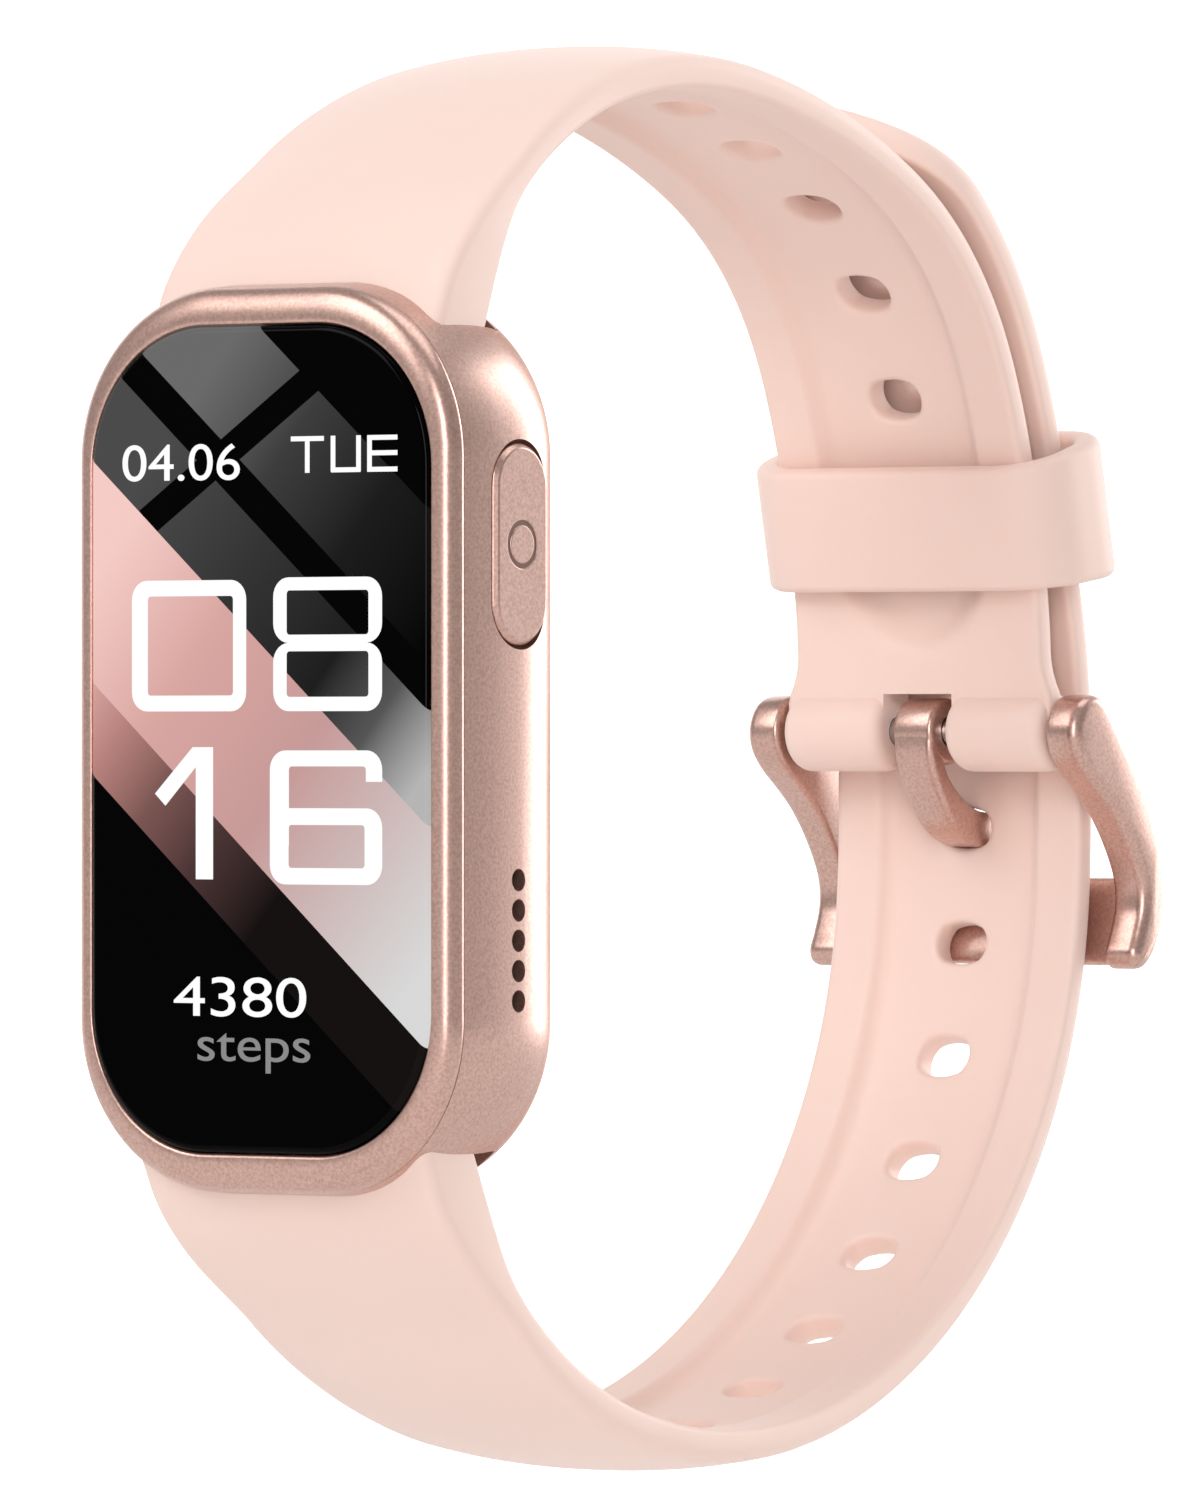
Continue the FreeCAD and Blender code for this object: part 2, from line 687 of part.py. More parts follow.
def across(face, width):
    """A face in the YZ plane raised both ways along X."""
    solid = face.extrude(Vector(width, 0, 0))
    solid.translate(Vector(-width / 2, 0, 0))
    return solid


def plan_outline():
    """The strap's width seen from 12 o'clock, as a tall prism."""
    root, middle, far = size("strap_root_width") / 2, size("strap_mid_width") / 2, size("strap_width") / 2
    stations = ((root, 4.5), (middle, 12.0), (far, 26.0))
    along = Vector(0, 1, 0)
    edges = []
    for sign in (1, -1):
        curve = Part.BSplineCurve()
        places = [at(depth, -60, sign * half) for half, depth in stations]
        curve.interpolate(places, InitialTangent=along, FinalTangent=along)
        front = Part.LineSegment(at(2.0, -60, sign * root), at(4.5, -60, sign * root))
        back = Part.LineSegment(at(26.0, -60, sign * far), at(64.0, -60, sign * far))
        edges += [front.toShape(), curve.toShape(), back.toShape()]
    edges.append(Part.LineSegment(at(2.0, -60, root), at(2.0, -60, -root)).toShape())
    edges.append(Part.LineSegment(at(64.0, -60, far), at(64.0, -60, -far)).toShape())
    return Part.Face(Part.Wire(Part.__sortEdges__(edges))).extrude(Vector(0, 0, 120))


def hole_tool(path, distance):
    """The cutter of one strap hole at a distance along a path."""
    y, z, heading = path.along(distance)
    r = size("hole_width / 2")
    half = size("hole_length / 2") - r
    frame = FreeCAD.Matrix()
    frame.A22, frame.A32 = math.cos(heading), math.sin(heading)
    frame.A23, frame.A33 = -math.sin(heading), math.cos(heading)
    edges = []
    for sign in (1, -1):
        ends = ((half, -r), (half + r, 0), (half, r))
        edges.append(Part.Arc(*[Vector(sign * x, sign * z, 0) for x, z in ends]).toShape())
    for level in (r, -r):
        edges.append(Part.LineSegment(Vector(-half, level, 0), Vector(half, level, 0)).toShape())
    prism = Part.Face(Part.Wire(Part.__sortEdges__(edges))).extrude(Vector(0, 0, 8))
    prism.translate(Vector(0, 0, -4))
    prism = prism.transformGeometry(frame)
    prism.translate(at(y, z))
    return prism


def root_and_bend(path, side):
    """The strap's root in the case's pocket and the bend that leads out of it, as a face."""
    front, back = size("pocket_front + fit_gap"), size("pocket_back - fit_gap")
    inside = size("pocket_floor + 0.1")
    thick = size("strap_thick")
    outer = Part.BSplineCurve()
    y, z, heading = path.spot(1, 0.35, thick)
    outer.interpolate(
        [at(front, side * 20.6), at(5.6, side * 25.0), at(y, z)],
        InitialTangent=Vector(0, 0, side),
        FinalTangent=Vector(0, math.cos(heading), math.sin(heading)),
    )
    corner = [at(front, side * inside), at(back, side * inside), at(back, side * 22.4)]
    inner = path.edges(0.0, 0, 1)
    y, z, heading = path.spot(1, 0.35, 0.0)
    half = path.spot(1, 0.175, 0.0)
    start = path.spot(1, 0.0, 0.0)
    inner.append(Part.Arc(at(*start[:2]), at(*half[:2]), at(y, z)).toShape())
    edges = [outer.toShape()] + inner
    edges.append(Part.LineSegment(at(front, side * 20.6), corner[0]).toShape())
    edges.append(Part.LineSegment(corner[0], corner[1]).toShape())
    edges.append(Part.LineSegment(corner[1], corner[2]).toShape())
    edges.append(Part.LineSegment(corner[2], inner[0].firstVertex().Point).toShape())
    edges.append(Part.LineSegment(at(y, z), outer.toShape().lastVertex().Point).toShape())
    return Part.Face(Part.Wire(Part.__sortEdges__(edges)))


def band(path, low, high, first, last=None):
    """The face between two offsets of a path, over a run of its arcs."""
    inner = path.edges(low, first, last)
    outer = turned(path.edges(high, first, last))
    return closed_face([inner, outer])


WIDE = 30.0
upper = Path(UPPER_START, UPPER_HEADING, UPPER_ARCS, 1)
# The tail lies on the upper strap, so its last arcs share the upper strap's centres.
stack = size("strap_thick + layer_gap")
TAIL_ARCS = ((45.6 + stack, 10.36), (17.7 + stack, 40.1), (43.9 + stack, 1.8))
lower = Path(LOWER_START, LOWER_HEADING, LOWER_ARCS + TAIL_ARCS, -1)


def strap_blank(path, side, last, plan):
    """A strap's solid: its root, its bend and its band, trimmed to the plan, with its channel cut."""
    thick = size("strap_thick")
    body = across(root_and_bend(path, side), WIDE).fuse(across(band(path, 0.0, thick, 2, last), WIDE))
    y, z, heading = path.spot(1, 0.35, 0.0)
    start = path.spot(1, 1.0, 0.0)
    middle = path.spot(1, 0.675, 0.0)
    inner = [Part.Arc(at(y, z), at(*middle[:2]), at(*start[:2])).toShape()]
    outer_ends = [path.spot(1, part, thick) for part in (1.0, 0.675, 0.35)]
    outer = [Part.Arc(*[at(*spot[:2]) for spot in outer_ends]).toShape()]
    body = body.fuse(across(closed_face([inner, outer]), WIDE)).removeSplitter()
    body = body.common(plan)
    channel = across(band(path, -0.5, size("channel_deep"), 2, last - 1), size("channel_width"))
    return body.cut(channel)


def buckle_strap(plan):
    """The 12 o'clock strap, with the tube that holds the buckle's bar."""
    body = strap_blank(upper, 1, 5, plan)
    centre = at(size("buckle_depth"), size("buckle_level"))
    half = size("tube_length / 2")
    end = centre - Vector(half, 0, 0)
    tube = Part.makeCylinder(size("tube_diameter / 2"), 2 * half, end, Vector(1, 0, 0))
    neck = Part.makeBox(2 * half, size("strap_thick"), 2.6)
    neck.translate(at(upper.end[0], upper.end[1] - 2.55, -half))
    neck = neck.common(plan)
    body = body.fuse(neck).fuse(tube).removeSplitter()
    bore = size("bar_diameter / 2 + 0.02")
    body = body.cut(Part.makeCylinder(bore, 40, centre - Vector(20, 0, 0), Vector(1, 0, 0)))
    gap = Part.makeBox(size("tube_slot"), 6.0, 5.0)
    gap.translate(centre - Vector(size("tube_slot") / 2, 3.0, 2.2))
    body = body.cut(gap)
    total = sum(radius * turn for radius, turn, *_ in upper.pieces)
    for number in range(6):
        body = body.cut(hole_tool(upper, total - 15.2 - number * size("hole_pitch")))
    return lug_bore(body, 1)


def lug_bore(body, side):
    """The body with the hole for its lug spring bar."""
    start = at(size("lug_depth"), side * size("lug_level"), -20)
    return body.cut(Part.makeCylinder(size("bar_diameter / 2 + 0.02"), 40, start, Vector(1, 0, 0)))


def hole_strap(plan):
    """The 6 o'clock strap, with its row of holes and its tail over the other strap."""
    body = strap_blank(lower, -1, 10, plan)
    lengths = [radius * turn for radius, turn, *_ in lower.pieces]
    tang_hole = sum(lengths[:4])
    for number in range(-6, 8):
        body = body.cut(hole_tool(lower, tang_hole - number * size("hole_pitch")))
    return lug_bore(body, -1)


PLAN = plan_outline()
made("buckle_strap", buckle_strap(PLAN))
made("hole_strap", hole_strap(PLAN))

# ---- Keeper: a rounded ring swept about the centre of the strap's last arc ----


def ring_face(half, low, high, corner, axis):
    """A rounded rectangle in the XY plane through the axis, between two radii from it."""
    face = Part.makePlane(2 * half, high - low, Vector(-half, low, 0))
    solid = face.extrude(Vector(0, 0, 1))
    upright = [edge for edge in solid.Edges if edge.BoundBox.ZLength > 0.5]
    solid = solid.makeFillet(corner, upright)
    flat = [item for item in solid.Faces if item.BoundBox.ZMax < 1e-6][0]
    flat.translate(Vector(0, axis.y, axis.z))
    return flat


def keeper_loop():
    """The free loop round both strap layers."""
    radius, _, _, cy, cz = upper.pieces[-1]
    axis = at(cy, cz)
    wall, gap = size("keeper_wall"), size("keeper_gap")
    low = radius - gap
    high = radius + 2 * size("strap_thick") + size("layer_gap") + gap + 0.25
    half, corner = size("keeper_width / 2"), size("keeper_corner")
    outer = ring_face(half, low - wall, high + wall, corner, axis)
    inner = ring_face(half - wall, low, high, size("keeper_inner_corner"), axis)
    loop = outer.cut(inner).Faces[0]
    loop.rotate(axis, Vector(1, 0, 0), size("keeper_start"))
    return loop.revolve(axis, Vector(1, 0, 0), size("keeper_angle"))


made("keeper_loop", keeper_loop())

# ---- Buckle: frame and tang, both hung on the bar ----

ARM_OUTER = ((59.0, 0.2), (61.7, -3.3), (63.2, -6.9), (63.0, -9.4), (61.7, -12.0))
ARM_INNER = ((61.35, -11.8), (61.6, -9.6), (61.5, -7.9), (60.2, -5.4), (58.2, -3.2), (56.4, -1.4))
BAR_TOP = -7.4


def smooth(points):
    """One curve through points given as depths and levels."""
    curve = Part.BSplineCurve()
    curve.interpolate([at(*point) for point in points])
    return curve.toShape()


def frame_side():
    """The frame's side outline, from the knuckle down to the crossbar's foot."""
    outer = smooth(((57.2, 2.2),) + ARM_OUTER)
    inner = smooth(ARM_INNER + ((55.3, -0.6),))
    edges = [outer, inner]
    edges.append(Part.LineSegment(at(*ARM_OUTER[-1]), at(*ARM_INNER[0])).toShape())
    edges.append(Part.LineSegment(at(55.3, -0.6), at(57.2, 2.2)).toShape())
    return Part.Face(Part.Wire(Part.__sortEdges__(edges)))


def buckle_frame():
    """Two arms with knuckles, joined by a crossbar outside the strap."""
    side = frame_side()
    full, arm = size("frame_width"), size("arm_thick")
    body = across(side, full)
    centre = at(size("buckle_depth"), size("buckle_level"))
    end = centre - Vector(full / 2, 0, 0)
    ends = Part.makeCylinder(size("knuckle_diameter / 2"), full, end, Vector(1, 0, 0))
    body = body.fuse(ends)
    opening = Part.makeBox(full - 2 * arm, 40, 40)
    opening.translate(at(40, BAR_TOP, arm - full / 2))
    body = body.cut(opening)
    reach = full - 2 * arm + 2.3
    bore = size("tip_diameter / 2 + tip_gap")
    return body.cut(Part.makeCylinder(bore, reach, centre - Vector(reach / 2, 0, 0), Vector(1, 0, 0)))


TANG_LINE = ((56.2, -0.9), (56.6, -2.4), (57.6, -3.8), (59.0, -4.5), (61.4, -4.75), (62.3, -5.1))


def buckle_tang():
    """The tongue: an eye round the bar and a bent tongue through the strap's hole."""
    thick, width = size("tang_thick"), size("tang_width")
    line = smooth(TANG_LINE).Curve
    rims = []
    for off in (thick / 2, -thick / 2):
        rims.append([])
        for step in range(9):
            spot = line.FirstParameter + (line.LastParameter - line.FirstParameter) * step / 8
            run = line.tangent(spot)[0]
            rims[-1].append(line.value(spot) + Vector(0, -run.z, run.y) * off)
    sides = []
    for points in rims:
        curve = Part.BSplineCurve()
        curve.interpolate(points)
        sides.append(curve.toShape())
    for end in (0, -1):
        sides.append(Part.LineSegment(rims[0][end], rims[1][end]).toShape())
    body = across(Part.Face(Part.Wire(Part.__sortEdges__(sides))), width)
    centre = at(size("buckle_depth"), size("buckle_level"), -width / 2)
    body = body.fuse(Part.makeCylinder(1.75, width, centre, Vector(1, 0, 0)))
    return body.cut(Part.makeCylinder(size("bar_diameter / 2 + 0.07"), width, centre, Vector(1, 0, 0)))


made("buckle_frame", buckle_frame())
made("buckle_tang", buckle_tang())

# ---- Checks and export ----

doc.recompute()
for item in doc.Objects:
    if {"Invalid", "Error"} & set(item.State):
        raise RuntimeError(f"{item.Label} failed: {item.State}")
os.makedirs("parts", exist_ok=True)
for piece in pieces:
    shape = piece.Shape
    if shape.isNull() or not shape.isValid() or not shape.Solids:
        raise RuntimeError(f"{piece.Label} has no valid solid")
    shape.exportStep(f"parts/{piece.Label}.step")
    print(f"{piece.Label:22s} {len(shape.Solids)} solid, {shape.Volume:9.2f} mm3")
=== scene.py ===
"""Fitness tracker band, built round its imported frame, in metres.

+X is the side with the button, +Y runs from the screen through the wrist to the buckle and
+Z points to 12 o'clock. MM turns the makers' millimetres into metres.
"""

import math

import bmesh
import bpy
import numpy as np
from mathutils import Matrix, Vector


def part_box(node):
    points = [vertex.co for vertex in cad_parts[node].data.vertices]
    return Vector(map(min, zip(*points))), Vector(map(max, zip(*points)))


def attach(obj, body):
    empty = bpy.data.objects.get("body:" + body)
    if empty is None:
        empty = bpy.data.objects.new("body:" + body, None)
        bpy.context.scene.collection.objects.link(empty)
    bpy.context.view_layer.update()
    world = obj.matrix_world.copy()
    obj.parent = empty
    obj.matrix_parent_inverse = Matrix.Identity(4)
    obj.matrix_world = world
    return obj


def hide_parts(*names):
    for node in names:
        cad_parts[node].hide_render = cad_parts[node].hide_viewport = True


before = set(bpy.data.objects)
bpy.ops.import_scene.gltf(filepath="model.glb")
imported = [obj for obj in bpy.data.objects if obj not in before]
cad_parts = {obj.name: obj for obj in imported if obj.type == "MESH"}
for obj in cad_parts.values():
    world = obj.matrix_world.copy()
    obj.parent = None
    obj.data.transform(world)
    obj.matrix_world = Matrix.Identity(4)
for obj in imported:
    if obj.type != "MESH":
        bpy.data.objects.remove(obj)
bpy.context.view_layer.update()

MM = 0.001
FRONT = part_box("cover_glass")[0][1] / MM  # Y of the glass's front, which all depths start from


# ---- Studio: a pale floor that curves up into a backdrop, and soft box lights ----
# A plain studio sweep of painted board. It is lit from behind to white, so that the band
# stands out by its own soft shading.


def linear(code):
    """The linear colour of an sRGB hex code."""
    parts = [int(code[i : i + 2], 16) / 255 for i in (1, 3, 5)]
    return tuple(c / 12.92 if c <= 0.04045 else ((c + 0.055) / 1.055) ** 2.4 for c in parts) + (1.0,)


def add(tree, kind, links=(), **settings):
    """Adds a node: settings set its properties or inputs, links feed its inputs from sockets."""
    node = tree.nodes.new(kind)
    for name, value in settings.items():
        if hasattr(node, name):
            setattr(node, name, value)
        else:
            node.inputs[name.replace("_", " ")].default_value = value
    for socket, source in links:
        tree.links.new(source, node.inputs[socket])
    return node


def finish_of(name, colour, **settings):
    """A material with its Principled shader set up; returns material, tree and shader."""
    material = bpy.data.materials.new(name)
    material.use_nodes = True
    shader = material.node_tree.nodes["Principled BSDF"]
    shader.inputs["Base Color"].default_value = linear(colour)
    for socket, value in settings.items():
        shader.inputs[socket.replace("_", " ")].default_value = value
    return material, material.node_tree, shader


def surface(name, points, faces, material, smooth_angle=35.0, outward=True):
    """A piece from points in millimetres and faces, its doubles merged and its normals outward."""
    mesh = bpy.data.meshes.new(name)
    mesh.from_pydata((np.asarray(points) * MM).tolist(), [], [list(map(int, f)) for f in faces])
    mesh.validate()
    if outward:
        work = bmesh.new()
        work.from_mesh(mesh)
        bmesh.ops.remove_doubles(work, verts=work.verts, dist=2e-6)
        bmesh.ops.recalc_face_normals(work, faces=work.faces)
        work.to_mesh(mesh)
        work.free()
    mesh.polygons.foreach_set("use_smooth", np.ones(len(mesh.polygons), bool))
    mesh.set_sharp_from_angle(angle=math.radians(smooth_angle))
    mesh.materials.append(material)
    piece = bpy.data.objects.new(name, mesh)
    bpy.context.scene.collection.objects.link(piece)
    return piece


def grid_faces(rows, columns, wrap_rows=False, wrap_columns=False):
    """The quads of a grid of points, joined round where it wraps."""
    down, across = np.arange(rows - (not wrap_rows)), np.arange(columns - (not wrap_columns))
    i, j = np.meshgrid(down, across, indexing="ij")
    k, m = (i + 1) % rows, (j + 1) % columns
    quads = np.stack([i * columns + j, i * columns + m, k * columns + m, k * columns + j], -1)
    return quads.reshape(-1, 4).tolist()


SWEEP_FLOOR = -75.0  # mm, well under the strap
SWEEP_FRONT = -1500.0  # along the camera's line, from the middle of the band
SWEEP_BACK = 550.0  # where the floor starts to curve up
SWEEP_RADIUS = 1150.0
SWEEP_TALL = 1600.0
SWEEP_HALF = 1450.0
GLOW = 0.8
GLOW_FULL = 2.0  # height over the floor at which the board's glow is at its full strength

turn = np.linspace(0, math.pi / 2, 33)
sweep_y = SWEEP_BACK + SWEEP_RADIUS * np.sin(turn)
sweep_y = np.concatenate([[SWEEP_FRONT], sweep_y, [SWEEP_BACK + SWEEP_RADIUS]])
sweep_z = SWEEP_FLOOR + np.concatenate([[0.0], SWEEP_RADIUS * (1 - np.cos(turn)), [SWEEP_TALL]])
LOOK = (-0.6018, 0.7986)  # the way the camera looks, seen from above
sides = np.array([-SWEEP_HALF, SWEEP_HALF])
sweep = np.stack(
    [
        sweep_y[:, None] * LOOK[0] + sides[None] * LOOK[1],
        sweep_y[:, None] * LOOK[1] - sides[None] * LOOK[0],
        np.repeat(sweep_z[:, None], 2, 1),
    ],
    -1,
).reshape(-1, 3)
board, tree, shader = finish_of("back_lit_painted_board", "#EDEBEA", Roughness=0.9)
shader.inputs["Emission Color"].default_value = linear("#FFFFFF")
place = add(tree, "ShaderNodeTexCoord")
along = add(tree, "ShaderNodeSeparateXYZ", [("Vector", place.outputs["Object"])])
glow = add(tree, "ShaderNodeMapRange", [("Value", along.outputs["Z"])], To_Max=GLOW)
glow.inputs["From Min"].default_value = SWEEP_FLOOR * MM
glow.inputs["From Max"].default_value = (SWEEP_FLOOR + GLOW_FULL) * MM
tree.links.new(glow.outputs["Result"], shader.inputs["Emission Strength"])
backdrop = surface("studio_sweep", sweep, grid_faces(len(sweep_y), 2), board, outward=False)

CAMERA_PLACE = (0.4046, -0.5425, -0.0005)
CAMERA_LENS = 318.2  # mm, on a sensor 36 mm tall
camera_data = bpy.data.cameras.new("camera")
camera_data.sensor_fit = "VERTICAL"
camera_data.sensor_height = 36.0
camera_data.lens = CAMERA_LENS
camera = bpy.data.objects.new("camera", camera_data)
camera.location = CAMERA_PLACE
camera.rotation_euler = Vector((LOOK[0], LOOK[1], 0.0)).to_track_quat("-Z", "Y").to_euler()
bpy.context.scene.collection.objects.link(camera)
bpy.context.scene.camera = camera

ROOM_STRENGTH = 0.36
world = bpy.data.worlds.new("room")
world.use_nodes = True
world.node_tree.nodes["Background"].inputs["Color"].default_value = linear("#FFFFFF")
world.node_tree.nodes["Background"].inputs["Strength"].default_value = ROOM_STRENGTH
bpy.context.scene.world = world
bpy.context.scene.view_settings.view_transform = "Standard"

SOFT_BOXES = (  # place (m), width and height (m), power (W)
    ("key_box", (-0.45, -0.9, 0.8), (0.8, 0.8), 7.0),
    ("front_strip", (0.62, -0.92, 0.0), (0.3, 1.3), 8.5),
    ("rear_strip", (0.36, 1.12, 0.1), (0.4, 1.3), 9.5),
    ("top_box", (0.25, 0.25, 1.2), (0.9, 0.9), 4.5),
)
for name, place, (wide, tall), power in SOFT_BOXES:
    light = bpy.data.lights.new(name, "AREA")
    light.shape = "RECTANGLE"
    light.size, light.size_y = wide, tall
    light.energy = power
    lamp = bpy.data.objects.new(name, light)
    lamp.location = place
    lamp.rotation_euler = (-Vector(place)).to_track_quat("-Z", "Y").to_euler()
    bpy.context.scene.collection.objects.link(lamp)


# ---- Straps: two lengths of moulded silicone rubber ----
# Each is pressed in one piece: domed outside, with a shallow channel inside, and oval holes
# with rolled rims. The 12 o'clock one ends in the tube that the buckle hangs on.

SILICONE_HEX = "#F0D0C3"
silicone, tree, shader = finish_of(
    "moulded_silicone_blush", SILICONE_HEX, Roughness=0.52, Subsurface_Weight=0.06, Subsurface_Scale=0.002
)
shader.inputs["Subsurface Radius"].default_value = (1.0, 0.55, 0.4)
shader.inputs["Sheen Weight"].default_value = 0.25
shader.inputs["Sheen Roughness"].default_value = 0.45
place = add(tree, "ShaderNodeTexCoord")
GRAIN = 0.12 * MM  # the soft-touch grain is finer in life; this is as coarse as shows
fine = add(tree, "ShaderNodeTexNoise", [("Vector", place.outputs["Object"])], Scale=1 / GRAIN / 4, Detail=2.0)
bump = add(tree, "ShaderNodeBump", [("Height", fine.outputs["Fac"])], Strength=0.06, Distance=0.02 * MM)
tree.links.new(bump.outputs["Normal"], shader.inputs["Normal"])
CLOUD = 14 * MM  # the slow drift of the pigment
cloud = add(tree, "ShaderNodeTexNoise", [("Vector", place.outputs["Object"])], Scale=1 / CLOUD, Detail=1.0)
tint = add(tree, "ShaderNodeMix", [("Factor", cloud.outputs["Fac"])], data_type="RGBA")
tint.inputs["A"].default_value = linear("#F1D5CA")
tint.inputs["B"].default_value = linear("#EDCFC3")
tree.links.new(tint.outputs["Result"], shader.inputs["Base Color"])


def arc_path(start, heading, arcs, side, back, step=0.25, soften=1.6):
    """Points and outward normals along tangent arcs, each a radius and a turn in degrees.

    The curvature is piecewise constant; it is blurred over a short length, summed to a
    heading and summed again to places, so the line bends as rubber does.
    """
    lengths = np.array([r * math.radians(t) for r, t in arcs])
    ends = np.concatenate([[0.0], np.cumsum(lengths)])
    s = np.arange(-back, ends[-1] + step / 2, step)
    pick = np.clip(np.searchsorted(ends, s, side="right") - 1, -1, len(arcs) - 1)
    bend = np.where(s < 0, 0.0, -side / np.array([r for r, _ in arcs])[pick])
    reach = np.arange(-4 * soften, 4 * soften + step / 2, step)
    bell = np.exp(-0.5 * (reach / soften) ** 2)
    padded = np.pad(bend, len(bell) // 2, mode="edge")
    soft = np.convolve(padded, bell / bell.sum(), mode="valid")[: len(s)]
    angle = math.radians(heading) + np.concatenate([[0.0], np.cumsum((soft[1:] + soft[:-1]) / 2 * step)])
    run = np.stack([np.cos(angle), np.sin(angle)], -1)
    place = np.concatenate([[[0.0, 0.0]], np.cumsum((run[1:] + run[:-1]) / 2 * step, 0)])
    place += np.array(start) - back * run[0]
    normal = side * np.stack([-run[:, 1], run[:, 0]], -1)
    return s, place, normal


def smoothstep(x, low, high):
    """0 below low and 1 above high, with a soft ramp between."""
    t = np.clip((x - low) / (high - low), 0.0, 1.0)
    return t * t * (3 - 2 * t)


HOLE_BLOCK = 4  # grid cells from a hole's middle to its block's edge
CELL_X = 0.55
HOLE_PITCH = 5.95
CELL_S = HOLE_PITCH / 12
HOLE_HALF, HOLE_R = 0.5, 1.05  # a hole's straight half length and its end radius
RIM = ((0.36, 0.0), (0.2, 0.03), (0.08, 0.12), (0.0, 0.3))  # rolled rim: outset and depth
CHANNEL = 5.15  # half width of the channel
CHANNEL_DEEP = 0.75
SLOPE_FROM, SLOPE_TO = 0.84, 1.03  # parts of the half width between which the channel's wall rises
CHANNEL_STARTS = (9.0, 11.0)  # lengths from the case over which the channel sets in
CREASE = 42.0  # degrees; silicone shades smoothly over anything gentler
WALL_STEPS = (2.9, 3.6, 4.2, 4.6, 4.85, 5.0, 5.15, 5.3, 5.5, 5.9, 6.3)  # close at the channel's wall
EDGE_STEPS = (1.15, 0.75, 0.5, 0.32, 0.18, 0.08, 0.02, 0.0)
FROM_EDGE = 100.0  # marks a column that is measured in from the strap's edge
INNER_ROUND, OUTER_ROUND = 0.35, 0.75
EDGE_LEAST = 0.45  # thickness that the rounding leaves at the very edge
DOME_POWER = 2.2
THINNEST = 0.02


def band_between(first, second):
    """The quads between two closed rings of point numbers."""
    return np.stack([first, np.roll(first, -1), np.roll(second, -1), second], -1).tolist()


def rounding(rest, radius):
    """How far a quarter circle falls away at a distance from the edge."""
    return radius - np.sqrt(np.clip(radius**2 - np.clip(radius - rest, 0, None) ** 2, 0, None))


